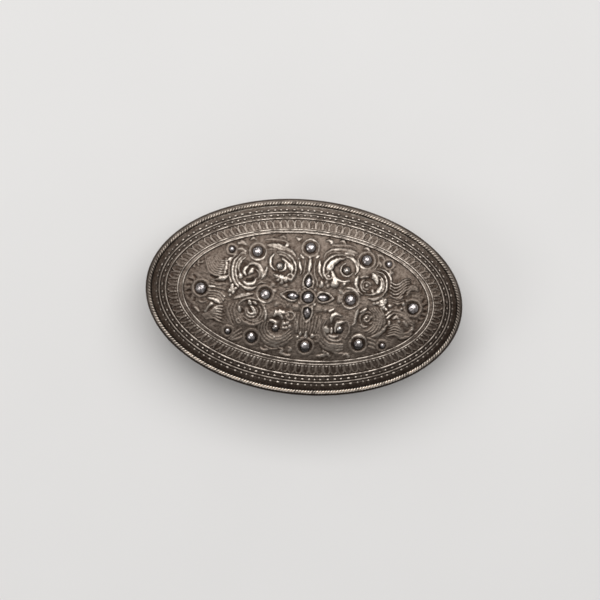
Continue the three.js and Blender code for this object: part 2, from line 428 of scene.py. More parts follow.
def end_clusters(r):
    """The clusters of small beads beside the outer scrolls"""
    for x, y, size, shine in ((-22.3, 0.5, 0.95, 1), (-23.2, 0.2, 0.6, 1), (-22.6, 1.8, 0.6, 0.9),
                              (-22.7, 1, 0.5, 0.8), (-23, -1.4, 0.45, 0.8), (-21.6, 2.4, 0.4, 0.4),
                              (23, 0.6, 0.65, 1), (24.8, 1, 0.95, 1), (25.1, -0.6, 0.75, 1),
                              (23.8, -0.2, 0.5, 0.6), (24.4, 2, 0.5, 0.7), (26.8, 0.1, 0.55, 1),
                              (22, 0.4, 0.5, 0.8), (25.4, 1.8, 0.45, 0.8), (25.9, -1.3, 0.5, 0.8),
                              (24.2, -1, 0.4, 0.7), (-21.5, 0.9, 0.5, 0.9), (-22.1, -0.5, 0.4, 0.8),
                              (24, 0.8, 0.75, 1), (24.6, 0, 0.8, 1), (31.1, 1, 0.5, 0.7),
                              (30.6, -0.6, 0.45, 0.6), (32.1, 2, 0.4, 0.3)):
        r.dot(x, y, size, 0.5 if size > 0.7 else 0.4, shine)
    r.ridge([(-23.5, 3.6), (-23.2, 2.7)], (0.3, 0.4, 0.25), 0.4, 0.8)


def end_cuts(r):
    """Short cuts that stand round the outer side of each end boss"""
    for side, node in ((-1, "boss_left"), (1, "boss_right")):
        place = middle_of(node)
        for angle in (-62, -38, -15, 12, 36, 60):
            way = np.array([side * math.cos(math.radians(angle)), math.sin(math.radians(angle))])
            turn = 0.6 * np.array([-way[1], way[0]])
            r.groove([place + 3.3 * way, place + 4.1 * way + 0.3 * turn, place + 4.8 * way + turn], 0.3, 0.22)


def upper_left_inner(r):
    """The inner scroll, and the soft bands over it"""
    r.ridge([(-9.7, 13.3), (-8, 13.5), (-6.2, 12.9), (-4.7, 11.8), (-3.7, 10.2), (-3.3, 8.3), (-3.6, 6.5),
             (-4.5, 5.1)], (0.25, 0.4, 0.4, 0.38, 0.3), 0.42, (0.3, 0.45, 0.6, 0.6, 0.8))
    r.ridge([(-9, 12.7), (-7.2, 12.4), (-5.6, 11.3), (-4.6, 9.9)], (0.2, 0.35, 0.3, 0.15), 0.34, 0.4)
    r.ridge([(-10.6, 12.7), (-11.4, 11.5), (-11.5, 10.2), (-11, 8.8), (-9.9, 7.8)],
            (0.25, 0.5, 0.55, 0.5, 0.25), 0.5, 0.95)
    r.ridge([(-7.7, 11.3), (-6.4, 10.6), (-5.3, 9.5), (-4.7, 8.4), (-4.6, 7.3)], (0.4, 0.6, 0.8, 0.7, 0.25),
            0.5, (0.6, 0.9, 1, 0.7))
    r.groove([(-7, 11.5), (-5.6, 10.8), (-4.7, 9.8)], 0.22, 0.2)
    r.ridge([(-6.9, 10), (-6.7, 8.9), (-7.3, 7.8), (-8.4, 7.5)], (0.2, 0.42, 0.42, 0.2), 0.42,
            (0.4, 0.9, 0.8, 0.3))
    r.ridge([(-10, 6.2), (-8.8, 5.9), (-7.6, 5.6), (-6.3, 5.4)], (0.25, 0.7, 0.95, 0.75), 0.46,
            (0.5, 0.9, 1, 0.8), crest=0.45, teeth=4)
    r.arc(-4.9, 6.1, (0.95, 0.8), (150, -150), 0.32, 0.4, (0.5, 0.5, 1))
    for x, y, size in ((-8.6, 4.7, 0.45), (-7.4, 4.2, 0.6), (-6.2, 4.6, 0.45)):
        r.dot(x, y, size, 0.34, 0.6)
    r.groove([(-11, 7.6), (-9.4, 7.3), (-7.8, 7.3), (-6.4, 8)], 0.28, 0.22)
    r.ridge([(-12.9, 15.3), (-10.6, 15.3), (-8.4, 15), (-6.4, 14.6), (-4.9, 13.8), (-3.9, 12.6)],
            (0.4, 0.85, 0.9, 0.6, 0.45, 0.3), 0.34, (0.3, 0.6, 0.8, 0.4, 0.6, 0.4), vein=0.35)
    r.ridge([(-13.6, 17), (-11, 17.3), (-8.2, 17.2), (-6, 16.4)], (0.2, 0.4, 0.4, 0.2), 0.26, 0.2)
    r.ridge([(-12.8, 13.9), (-11.7, 14.1), (-10.5, 13.8)], (0.2, 0.35, 0.2), 0.24, 0.2)
    r.dot(-6.8, 15.9, 0.5, 0.4, 1)


def upper_left_outer(r):
    """The outer scroll, and the seats and leaves of its bosses"""
    r.ridge([(-18.3, 8.2), (-19.1, 7.3), (-19.3, 6.3), (-18.8, 5.4)], (0.3, 0.55, 0.6, 0.3), 0.5, 1)
    r.ridge([(-16.9, 7.4), (-17.2, 6.7), (-17.7, 6)], (0.45, 0.75, 0.4), 0.5, 1, crest=0.6)
    r.ridge([(-18.3, 8.5), (-17.4, 9.1), (-16.2, 9.2), (-14.9, 8.6), (-14, 7.4), (-13.4, 6.1),
             (-13.5, 4.9)], (0.3, 0.5, 0.55, 0.6, 0.6, 0.45, 0.2), 0.48, (0.5, 0.9, 0.7, 0.9, 0.6),
            vein=0.3)
    r.ridge([(-12.4, 8.2), (-12.7, 7), (-13, 5.8), (-13.7, 4.6)], (0.35, 0.5, 0.45, 0.2), 0.42, 0.7)
    r.ridge([(-16, 7.5), (-15, 6.9), (-14.5, 5.9), (-14.7, 4.7)], (0.2, 0.3, 0.3, 0.2), 0.36, 0.5)
    r.ridge([(-20.6, 5.8), (-20.4, 5.1), (-20.1, 4.5)], (0.4, 0.75, 0.5), 0.55, 1, crest=0.6)
    r.ridge([(-19.1, 3.3), (-18.3, 2.8), (-17, 2.8), (-15.9, 3.4), (-15.5, 4.6)],
            (0.4, 0.75, 0.75, 0.55, 0.25), 0.5, (0.6, 1, 1, 0.9, 0.5))
    r.groove([(-19.4, 4.8), (-18.3, 4.1), (-17, 4.1), (-16.1, 5)], 0.35, 0.28)
    r.ridge([(-19.4, 10.9), (-20.7, 9.4), (-21.1, 7.5), (-20.8, 6.2)], (0.2, 0.38, 0.35, 0.15), 0.36, 0.55)
    r.ridge([(-20.4, 11.2), (-21.7, 9.3), (-22, 7.1), (-21.7, 5), (-20.8, 3), (-19.4, 1.9)],
            (0.2, 0.3, 0.3, 0.3, 0.35, 0.3), 0.42, (0.4, 0.6, 0.8, 0.6, 0.8, 0.9))
    r.ridge([(-21.4, 11.5), (-22.8, 9.2), (-23.1, 7), (-22.8, 4.9), (-21.8, 2.8), (-20.6, 1.5)],
            (0.2, 0.36, 0.4, 0.36, 0.38, 0.25), 0.44, (0.5, 0.8, 1, 0.8, 0.9))
    r.ridge([(-22.5, 11.6), (-23.9, 9.2), (-24.2, 6.8), (-23.9, 4.6), (-23, 2.8)],
            (0.2, 0.26, 0.28, 0.26, 0.2), 0.38, 0.5)
    r.ridge([(-19.4, 1.7), (-18.2, 1.3), (-16.6, 1.3), (-15.3, 1.9)], (0.3, 0.55, 0.55, 0.25), 0.42,
            (0.7, 1, 0.9, 0.4))
    r.ridge([(-25.4, 9), (-24.6, 9.5), (-23.9, 10.2)], (0.4, 0.5, 0.25), 0.38, 0.9)
    r.ridge([(-14.8, 2.9), (-13.6, 3.5), (-12.4, 3.3)], (0.2, 0.4, 0.2), 0.3, 0.3)
    r.seat("boss_upper_left", 2.6, (-170, 20))
    r.seat("stud_upper_left", 1.6, shine=0.15)
    r.ridge([(-22, 15), (-20.6, 15.4), (-19.3, 14.8)], (0.4, 0.7, 0.35), 0.3, 0.35)
    r.ridge([(-21.9, 13.2), (-20.7, 13.4), (-19.6, 12.8)], (0.3, 0.6, 0.35), 0.3, 0.4)
    r.ridge([(-20.9, 12), (-20.2, 12.2), (-19.5, 12)], 0.3, 0.26, 0.4)


def upper_left_wing(r):
    """A wing of fine strands, brightest at the scroll"""
    for k in np.arange(8) * 0.6:
        r.ridge([(-31.8 + 0.8 * k, 9.6 + 0.25 * k), (-31 + 0.95 * k, 6.6 + 0.7 * k),
                 (-29.2 + 0.7 * k, 4.7 + 1.0 * k), (-27, 4.4 + 1.15 * k), (-25.5, 4.5 + 1.12 * k),
                 (-24.6, 4.8 + 1.08 * k)], (0.12, 0.16, 0.18, 0.2, 0.26, 0.24), 0.2,
                (0.05, 0.05, 0.1, 0.2, 0.8, 0.9), rim=0.8)
    r.ridge([(-25.3, 9.9), (-25, 8.3), (-25.1, 6.6), (-25.4, 4.8)], (0.2, 0.45, 0.4, 0.2), 0.3,
            (0.6, 0.9, 0.9, 0.5))
    r.ridge([(-28, 3.2), (-26.4, 3.6), (-25.2, 4), (-24.3, 4.7)], (0.3, 0.65, 0.7, 0.3), 0.4,
            (0, 0.6, 1, 0.6), crest=0.6)
    r.groove([(-30.2, 4.5), (-28.6, 3.7), (-27, 3.7)], 0.3, 0.25)
    r.groove([(-28.6, 2.4), (-26.4, 2.3), (-24.6, 2.9)], 0.3, 0.2)
    for x, y, turn in ((-34.6, 6.8, 1), (-33.4, 8.6, -1)):
        r.arc(x, y, (0.9, 0.6), (0, 250 * turn), (0.25, 0.4, 0.2), 0.24, 0.2)


def upper_right_inner(r):
    """The inner scroll, and the soft bands over it"""
    r.ridge([(6.6, 6.4), (5.5, 7.8), (5.2, 9.8), (5.7, 11.8), (7.2, 13.5), (9.4, 14.4), (11.8, 14.3)],
            (0.25, 0.42, 0.45, 0.42, 0.4, 0.25), 0.44, (0.8, 0.9, 0.7, 0.6, 0.4, 0.3))
    r.ridge([(12.2, 13.9), (13.8, 13.6), (15.1, 12.5), (15.8, 11), (15.8, 9.8), (15.2, 8.8)],
            (0.25, 0.5, 0.6, 0.65, 0.5, 0.25), 0.5, (0.4, 0.9, 1, 1, 0.6), vein=0.3)
    r.arc(12.6, 9.9, (2.1, 1.85), (110, 340), (0.25, 0.35, 0.35, 0.2), 0.36, (0.5, 0.45, 0.5, 0.3))
    r.ridge([(7, 9.9), (7.5, 10.7), (8.4, 11.9), (9.8, 13), (11.6, 13.3)], (0.9, 1.15, 0.8, 0.45, 0.2),
            0.52, (1, 1, 0.9, 0.7, 0.3), crest=0.6)
    r.groove([(10.4, 12.1), (9.3, 11.3), (8.6, 10)], 0.3, 0.25)
    r.groove([(6.4, 11.4), (7.3, 12.6), (8.6, 13.6)], 0.2, 0.15)
    r.arc(7.1, 7.5, (1.1, 0.95), (100, 400), 0.3, 0.42, 0.35)
    r.dot(7.1, 7.5, 0.45, 0.45, 0.8)
    r.ridge([(8, 8.9), (8.7, 7.7), (9, 6.4), (9, 5.2)], (0.4, 0.55, 0.65, 1.1), 0.52, 1, crest=0.6)
    r.ridge([(9.5, 6.9), (10.9, 6.3), (12.2, 6.2), (13.4, 6.6)], (0.5, 0.35, 0.35, 0.4), 0.44,
            (1, 0.8, 0.9, 0.7))
    r.dot(12, 5.5, 0.5, 0.34, 0.8)
    for x, y, size, shine in ((6.4, 5.4, 0.5, 0.4), (7.1, 4.3, 0.5, 0.4), (5.1, 4.5, 0.75, 0.7),
                              (11, 3.2, 0.5, 0.5), (12, 2.6, 0.4, 0.4)):
        r.dot(x, y, size, 0.34, shine)
    r.ridge([(5.1, 13.4), (5.8, 14.8), (7.4, 15.8), (9.8, 16.2), (12.6, 16.1), (15.2, 15.4)],
            (0.25, 0.4, 0.5, 0.5, 0.6, 0.3), 0.3, (0.2, 0.3, 0.5, 0.3, 0.4, 0.2))
    r.ridge([(6.2, 14.2), (7.8, 15), (9.8, 15.2)], (0.15, 0.26, 0.15), 0.22, 0.25)
    r.ridge([(11.6, 15), (13, 15.1), (14.4, 14.8)], (0.3, 0.65, 0.3), 0.32, 0.6)
    r.ridge([(7.2, 17.2), (9.2, 17.3), (11.6, 17.6), (14.4, 17.2)], (0.25, 0.5, 0.4, 0.2), 0.26,
            (0.2, 0.4, 0.2, 0.1))
    r.ridge([(5.2, 18.3), (6.2, 18.6), (7.1, 18.1), (6.7, 17.6)], (0.25, 0.4, 0.5, 0.3), 0.36,
            (0.2, 0.4, 1, 0.5))


def upper_right_outer(r):
    """The outer scroll, and the seats and leaves of its bosses"""
    r.dot(19.1, 5.7, 0.5, 0.45, 1)
    r.arc(19.1, 5.7, (1.15, 1.2), (20, 300), 0.28, 0.3, 0.25)
    r.arc(19.3, 5.6, (2.1, 2.0), (120, 260), (0.2, 0.4, 0.35, 0.2), 0.38, (0.3, 0.7, 0.5, 0.3))
    r.ridge([(16.1, 8.1), (15.7, 6.9), (15.9, 5.3), (16.8, 3.8), (18, 2.8)], (0.35, 0.6, 0.5, 0.4, 0.25),
            0.48, (0.8, 1, 0.6, 0.4, 0.3))
    r.ridge([(17.2, 7.9), (18.2, 8.4), (19.3, 8.4)], (0.3, 0.5, 0.25), 0.32, 0.4)
    r.ridge([(23.2, 8), (23.7, 6.6), (23.4, 5), (22.1, 3.6), (20.3, 2.9), (18.9, 3)],
            (0.3, 0.55, 0.75, 0.45, 0.3, 0.2), 0.5, (0.6, 0.9, 1, 0.6, 0.4, 0.3))
    r.ridge([(20.8, 9.4), (21.5, 8.4), (22, 7.4), (22.3, 6.4)], (0.45, 1, 0.7, 0.2), 0.5, 1, crest=0.5)
    r.dot(21, 4.2, 0.55, 0.32, 0.5)
    r.ridge([(22.4, 9.2), (23.4, 8.6), (24.2, 7.4), (24.6, 5.8), (24.2, 4.2)], (0.2, 0.26, 0.28, 0.28, 0.2),
            0.38, (0.4, 0.5, 0.6, 0.4, 0.3))
    r.ridge([(21.9, 10.4), (23.6, 9.9), (24.9, 8.5), (25.4, 6.6), (25.2, 4.6), (24.2, 3)],
            (0.2, 0.3, 0.36, 0.36, 0.3, 0.2), 0.42, (0.4, 0.7, 0.8, 1, 0.6, 0.3))
    r.ridge([(22.8, 11.3), (24.8, 10.6), (26.2, 9), (26.6, 7), (26.4, 5.2)], (0.2, 0.32, 0.4, 0.36, 0.2),
            0.42, (0.4, 0.8, 1, 0.8, 0.3))
    r.ridge([(19.9, 1.7), (21.6, 1.6), (23.3, 2.1), (24.5, 3.2)], (0.25, 0.5, 0.5, 0.2), 0.36,
            (0.3, 0.6, 0.5, 0.3), vein=0.3)
    r.ridge([(13.2, 4.3), (14.6, 4.2), (16, 3.5), (17.2, 2.2)], (0.4, 0.5, 0.45, 0.25), 0.4,
            (0.7, 0.7, 0.5, 0.3))
    r.seat("boss_upper_right", 2.6, (175, 285))
    r.arc(*middle_of("boss_upper_right"), (3.7, 3.8), (-50, 40), (0.15, 0.35, 0.15), 0.24, 0.25)
    r.seat("stud_upper_right", 1.6, shine=0.15)
    r.dot(26.4, 10.4, 0.6, 0.36, 0.7)
    r.ridge([(21.6, 15.4), (22.9, 15.3), (23.9, 14.4)], (0.3, 0.5, 0.25), 0.3, 0.3)
    r.ridge([(22.2, 13.6), (23, 12.6), (22.8, 11.9)], (0.25, 0.4, 0.2), 0.28, 0.3)


def upper_right_wing(r):
    """A wing of wavy strands"""
    for k in range(5):
        r.ridge([(26.7, 3.3 + 1.0 * k), (28, 2.7 + 1.02 * k), (29.2, 3 + 1.05 * k), (30.3, 4.2 + 1.0 * k),
                 (31.3, 5.5 + 0.85 * k), (32.4, 6.1 + 0.7 * k)], (0.25, 0.34, 0.34, 0.32, 0.28, 0.15), 0.42,
                (0.35, 0.4, 0.4, 0.25, 0.25, 0.1), rim=2.0)
    for k in range(3):
        r.ridge([(31.8, 3.8 + 0.8 * k), (32.8, 5.4 + 0.6 * k), (34, 5.9 + 0.5 * k), (35.2, 5.4 + 0.3 * k)],
                (0.2, 0.4, 0.38, 0.2), 0.3, 0.15)
    r.ridge([(28.6, 2.3), (29.8, 2.6), (30.6, 3.5)], (0.3, 0.5, 0.25), 0.34, 0.3)


def lower_left_inner(r):
    """The inner scroll, and the long leaves under it"""
    r.ridge([(-8.8, -6.5), (-8, -5.5), (-6.9, -5.2), (-5.8, -5.2)], (0.35, 0.8, 1.1, 0.6), 0.48,
            (0.5, 0.85, 0.9, 0.6), crest=0.5, teeth=3)
    r.ridge([(-7.1, -5.8), (-6.4, -6.4), (-6.2, -7)], (0.4, 0.5, 0.25), 0.42, 0.6)
    r.arc(-3.8, -6, (1.35, 1.2), (150, -170), 0.3, 0.36, (0.3, 0.4, 0.2))
    r.dot(-4.3, -5.8, 0.45, 0.36, 0.35)
    r.ridge([(-5.8, -8), (-5.9, -9.2)], 0.35, 0.34, 0.35)
    for x, y, size in ((-5.3, -8.7, 0.5), (-4.3, -8.4, 0.55), (-3.6, -9.3, 0.55), (-4.7, -9.8, 0.5),
                       (-5.6, -9.9, 0.4)):
        r.dot(x, y, size, 0.4, 0.75)
    r.ridge([(-9.8, -8), (-8.9, -8.1), (-8, -8.5)], (0.3, 0.5, 0.45), 0.44, (0.6, 1, 1))
    r.ridge([(-2.7, -5.4), (-1.8, -6.8), (-1.3, -8.6), (-1.4, -10.6)], (0.2, 0.35, 0.4, 0.25), 0.34,
            (0.2, 0.3, 0.6, 0.4))
    for k in range(4):
        r.ridge([(-10.3 - 0.85 * k, -8.4 - 0.1 * k), (-10.6 - 0.85 * k, -10.6 - 0.4 * k),
                 (-9.4 - 0.5 * k, -12.4 - 0.8 * k), (-7.2, -13 - 0.95 * k), (-5 + 0.2 * k, -12 - 0.85 * k),
                 (-3.6 + 0.35 * k, -10.4 - 0.8 * k)], (0.15, 0.3, 0.35, 0.5, 0.4, 0.2), 0.23,
                (0.1, 0.2, 0.3, 0.5 if k > 1 else 0.25, 0.25, 0.15))
    r.dot(-8, -13.1, 0.4, 0.3, 0.5)
    r.ridge([(-10.8, -16.2), (-8.8, -16.9), (-6.8, -16.7)], (0.25, 0.4, 0.2), 0.26, 0.2)


def lower_left_outer(r):
    """The outer scroll, and the seats and leaves of its bosses"""
    r.ridge([(-16.9, -2.6), (-16.3, -3.6)], (0.4, 0.65, 0.4), 0.48, 1)
    r.ridge([(-15.6, -2.7), (-14.7, -3.3)], (0.3, 0.5, 0.3), 0.4, 0.6)
    r.ridge([(-16.1, -4.3), (-15.3, -5), (-15, -6), (-15.9, -6.6), (-16.9, -6), (-17.2, -5)],
            (0.3, 0.5, 0.5, 0.4, 0.35, 0.2), 0.46, (0.8, 1, 0.9, 0.6, 0.3))
    r.arc(-15.8, -5.7, (1.95, 1.7), (160, 400), (0.25, 0.38, 0.42, 0.35, 0.2), 0.3, (0.2, 0.45, 0.5, 0.3))
    r.arc(-15.9, -5.8, (2.85, 2.8), (40, -140), (0.2, 0.35, 0.38, 0.2), 0.3, 0.25)
    r.ridge([(-12.9, -3.1), (-11.8, -4.7), (-11.3, -6.4), (-11.4, -8)], (0.25, 0.42, 0.5, 0.3), 0.42,
            (0.2, 0.4, 0.7, 0.6))
    r.ridge([(-12.4, -8.4), (-13.8, -9.5), (-15.8, -9.9), (-17.8, -9.3), (-19.2, -8)],
            (0.2, 0.42, 0.45, 0.4, 0.2), 0.34, 0.2)
    r.ridge([(-12.2, -5.4), (-12.4, -7), (-13.4, -8.3), (-15.2, -9)], (0.2, 0.3, 0.35, 0.2), 0.3, 0.2)
    r.ridge([(-20.3, -4.2), (-19.4, -2.9), (-18, -2), (-16.2, -1.7), (-14.3, -2.1)],
            (0.25, 0.38, 0.4, 0.38, 0.2), 0.34, 0.3)
    r.ridge([(-21.6, -2.2), (-20, -1.3), (-18, -0.7), (-15.9, -0.3)], (0.3, 0.6, 0.6, 0.3), 0.4,
            (0.3, 0.6, 0.6, 0.4), vein=0.3)
    r.ridge([(-19.8, -4.8), (-19.5, -6)], (0.35, 0.5, 0.35), 0.46, 0.8)
    r.arc(-19.6, -9.2, (0.75, 0.5), (90, 400), 0.28, 0.28, 0.35)
    for k in range(3):
        r.ridge([(-20.9 - 1.05 * k, -3.6 - 0.3 * k), (-21.4 - 1.0 * k, -5.6 - 0.1 * k),
                 (-21 - 0.9 * k, -7.8 - 0.1 * k), (-19.9 - 0.8 * k, -9.6 - 0.5 * k)],
                (0.2, 0.36, 0.36, 0.2), 0.2, 0.1)
    r.seat("boss_lower_left", 2.4, shine=0.12)
    r.seat("stud_lower_left", 1.6, shine=0.15)
    for k in range(3):
        r.ridge([(-18.6 + 0.2 * k, -11.4 - 1.3 * k), (-20 + 0.2 * k, -12.6 - 1.1 * k),
                 (-22.2 + 0.5 * k, -15.2 - 0.1 * k)], (0.2, 0.4, 0.2), 0.24, (0.1, 0.3, 0.15))


def lower_left_wing(r):
    """A wing of thick strands, brightest at the scroll"""
    r.ridge([(-29.8, -2.9), (-28.2, -3.1), (-26.9, -3.5), (-26.1, -4.1)], (0.3, 0.5, 0.7, 0.4), 0.42,
            (0.4, 0.6, 1, 0.7))
    r.ridge([(-28.5, -4.6), (-29.3, -5.3), (-29.8, -6.2), (-30.2, -7.1)], (0.55, 0.35, 0.35, 0.5), 0.42,
            (0.9, 0.5, 0.3, 0.7))
    r.ridge([(-33.5, -6.2), (-32.3, -7.4)], (0.35, 0.45, 0.25), 0.32, 0.45)
    r.ridge([(-32.8, -4), (-31.4, -4.4), (-30.3, -3.9)], (0.2, 0.4, 0.2), 0.26, 0.15)
    for k in range(6):
        r.ridge([(-31.2 + 0.3 * k, -8.2 - 0.3 * k), (-29.2, -7.6 - 0.35 * k), (-27.6, -6 - 0.6 * k),
                 (-26.3, -5.2 - 0.85 * k), (-25.2, -5.1 - 0.95 * k)], (0.2, 0.34, 0.36, 0.4, 0.3), 0.34,
                (0.05, 0.1, 0.2, 0.85 - 0.13 * k, 0.5 - 0.06 * k), rim=0.8)


def lower_right_inner(r):
    """The inner scroll, and the long leaves under it"""
    r.ridge([(13.3, -6.2), (12.2, -6.5), (11.2, -7.1), (10.8, -8.2), (10.7, -9.4)],
            (0.2, 0.45, 0.7, 0.65, 0.4), 0.6, (0.4, 0.8, 1, 1, 0.6))
    r.ridge([(9, -6.6), (9, -5.4), (9.7, -4.4), (10.9, -4.1), (12.1, -4.5)], (0.35, 0.55, 0.7, 0.6, 0.3),
            0.44, (0.6, 0.7, 0.9, 0.7, 0.3))
    r.ridge([(8.3, -3.4), (9.4, -2.6)], (0.4, 0.55, 0.4), 0.4, 0.8)
    r.ridge([(7.7, -8.6), (8.3, -9.9)], (0.5, 0.75, 0.5), 0.46, 1, crest=0.6)
    r.ridge([(9.4, -8.8), (9.5, -10)], (0.35, 0.5, 0.35), 0.38, 0.8)
    r.ridge([(8.9, -10.9), (10.2, -11.3), (11.5, -10.9)], (0.4, 0.65, 0.35), 0.4, 0.5)
    r.ridge([(7.5, -6.2), (6.9, -8.3), (7.4, -10.4), (9, -12), (11, -12.5), (12.7, -12)],
            (0.2, 0.4, 0.42, 0.4, 0.25), 0.34, (0.2, 0.3, 0.3, 0.45, 0.4))
    r.ridge([(14.1, -6), (14.9, -7.6), (14.9, -9.6), (13.9, -11.4)], (0.2, 0.35, 0.35, 0.2), 0.3,
            (0.2, 0.4, 0.35, 0.2))
    for k in range(3):
        r.ridge([(6.2 - 0.75 * k, -5.6), (5.7 - 0.7 * k, -8.3 - 0.2 * k), (6.2 - 0.5 * k, -11 - 0.5 * k),
                 (7.9 - 0.3 * k, -13 - 0.8 * k), (10.4, -13.8 - 0.85 * k), (13.4, -13.4 - 0.75 * k)],
                (0.15, 0.3, 0.32, 0.4, 0.5, 0.25), 0.27, (0.1, 0.2, 0.15, 0.25, 0.5 - 0.1 * k, 0.5))
    r.ridge([(10.4, -16), (12.2, -16.4), (13.8, -16.2)], (0.2, 0.4, 0.2), 0.28, 0.25)


def lower_right_outer(r):
    """The outer scroll, and the seats and leaves of its bosses"""
    r.dot(19.9, -4.3, 0.45, 0.42, 0.8)
    r.arc(20.1, -4.6, (0.95, 0.9), (130, -170), 0.28, 0.32, 0.35)
    r.dot(21.5, -4, 0.5, 0.34, 0.45)
    r.arc(20.1, -4.7, (2.15, 1.95), (230, -50), (0.2, 0.35, 0.35, 0.2), 0.3, 0.2)
    r.ridge([(17.1, -1.9), (16.8, -3.4), (16.6, -4.8), (16.4, -6.2), (15.8, -7.2)],
            (0.3, 0.55, 0.45, 0.4, 0.2), 0.44, (0.4, 1, 0.6, 0.7, 0.3))
    r.ridge([(18.2, -2.8), (19.5, -1.7)], (0.4, 0.55, 0.35), 0.44, 0.9)
    r.ridge([(18.4, -6.7), (19.4, -7.2), (20.4, -7)], (0.3, 0.45, 0.25), 0.34, 0.5)
    for k in range(5):
        r.ridge([(20.6 + 0.85 * k, -1.7 + 0.2 * k), (22.2 + 0.8 * k, -3.1), (22.6 + 0.82 * k, -5.2),
                 (21.9 + 0.82 * k, -7.2 - 0.2 * k), (20.4 + 0.9 * k, -8.6 - 0.4 * k)],
                (0.2, 0.36, 0.38, 0.36, 0.2), 0.3, 0.2)
    r.ridge([(22.2, -10.2), (23.8, -9.4), (25.4, -8), (26.6, -6.2)], (0.3, 0.5, 0.45, 0.3), 0.36,
            (0.3, 0.6, 0.5, 0.4))
    r.seat("boss_lower_right", 2.6, (20, 150))
    r.arc(18.2, -12.9, (2.8, 2.8), (35, 140), (0.2, 0.5, 0.2), 0.4, (0.5, 1, 0.5))
    r.seat("stud_lower_right", 1.6, shine=0.15)
    for k in range(3):
        r.ridge([(20.9 + 0.3 * k, -10.6 - 1.3 * k), (22.2 + 0.2 * k, -11 - 1.2 * k),
                 (23.6, -11.6 - 1.1 * k)], (0.2, 0.4, 0.2), 0.24, 0.25)


def lower_right_wing(r):
    """A wing of broad leaves and wavy strands"""
    r.ridge([(26, -3), (26.6, -2.3), (27.4, -1.6)], (0.4, 0.45, 0.3), 0.42, (0.7, 0.8, 0.4))
    r.ridge([(26.4, -3.9), (27.2, -3), (28.2, -2.2)], (0.35, 0.4, 0.3), 0.42, (0.6, 0.7, 0.3))
    for k in range(2):
        r.ridge([(28, -1.2 - 0.9 * k), (30, -1.4 - 0.9 * k), (31.8, -2.2 - 0.9 * k), (33.4, -3.8 - 0.9 * k),
                 (35, -4.9 - 0.7 * k)], (0.25, 0.42, 0.42, 0.4, 0.2), 0.3, 0.15)
    r.ridge([(28.4, -3.8), (29.2, -3.2), (30, -3.7)], (0.35, 0.55, 0.3), 0.38, 0.5)
    r.dot(30.2, -4.6, 0.45, 0.36, 0.7)
    r.ridge([(31.7, -4.4), (32.4, -5.2), (33, -5.8)], (0.4, 0.5, 0.25), 0.36, 0.45)
    r.ridge([(27.1, -4.9), (27.3, -6)], (0.4, 0.5, 0.35), 0.4, 0.8)
    r.dot(34.6, -6.4, 0.5, 0.34, 0.8)
    for k in range(5):
        r.ridge([(27.6 - 0.1 * k, -6.4 - 0.75 * k), (29, -5.6 - 0.8 * k), (30.2, -6 - 0.8 * k),
                 (31.1, -7.3 - 0.6 * k), (32.3, -8.2 - 0.35 * k), (33.6, -7.6 - 0.4 * k),
                 (34.6, -6.6 - 0.5 * k)], (0.25, 0.36, 0.38, 0.38, 0.36, 0.2), 0.36, 0.22, rim=1.8)


def leaf_frames(r):
    """Pointed frames round the four leaf bosses"""
    side = ((-1.9, 0), (-1.3, 1.35), (0.4, 1.6), (2, 1), (3.3, 0))
    for x, y, along in ((5.9, 0.7, (1, 0)), (-3.9, 0.4, (-1, 0)), (0.9, 4.9, (0, 1)), (1.4, -4.4, (0, -1))):
        along = np.array(along)
        for turn, shine in ((1, 0.5), (-1, 0.25)):
            across = turn * np.array([-along[1], along[0]])
            r.ridge([(x, y) + a * along + b * across for a, b in side], 0.38, 0.36, shine)


def middle_dots(r):
    """Dots between the leaf frames, and the seats of the middle bosses"""
    for x, y, size, shine in ((2.2, 5.4, 0.4, 0.6), (2.4, 3.3, 0.5, 0.4), (3.3, 2.6, 0.5, 0.4),
                              (-1.5, 2, 0.5, 0.4), (-0.4, 2.9, 0.45, 0.4), (3.4, -1.8, 0.5, 0.7),
                              (2.7, -2.5, 0.4, 0.3), (-1.2, -1.8, 0.5, 0.4), (-9.4, 1.3, 0.6, 0.5),
                              (11.2, 3, 0.6, 0.5), (-5.9, 3.2, 0.55, 0.4), (-10.1, 3, 0.8, 0.3),
                              (-8.4, -2.8, 0.6, 0.3), (-4.8, -2.8, 0.5, 0.3), (-12.2, -3.4, 0.45, 0.4),
                              (7, -3.2, 0.5, 0.4)):
        r.dot(x, y, size, 0.3, shine)
    for x, y in ((-2.2, -3.2), (4.9, -3)):
        r.dot(x, y, 0.95, 0.3, 0.2)
    r.ridge([(11, 0), (11, 1.2)], 0.7, 0.36, 0.3)
    r.seat("boss_mid_left", 2.6, (190, 300))
    r.seat("boss_mid_right", 2.7, (190, 320))
    r.seat("boss_centre", 2.3, shine=0.1)


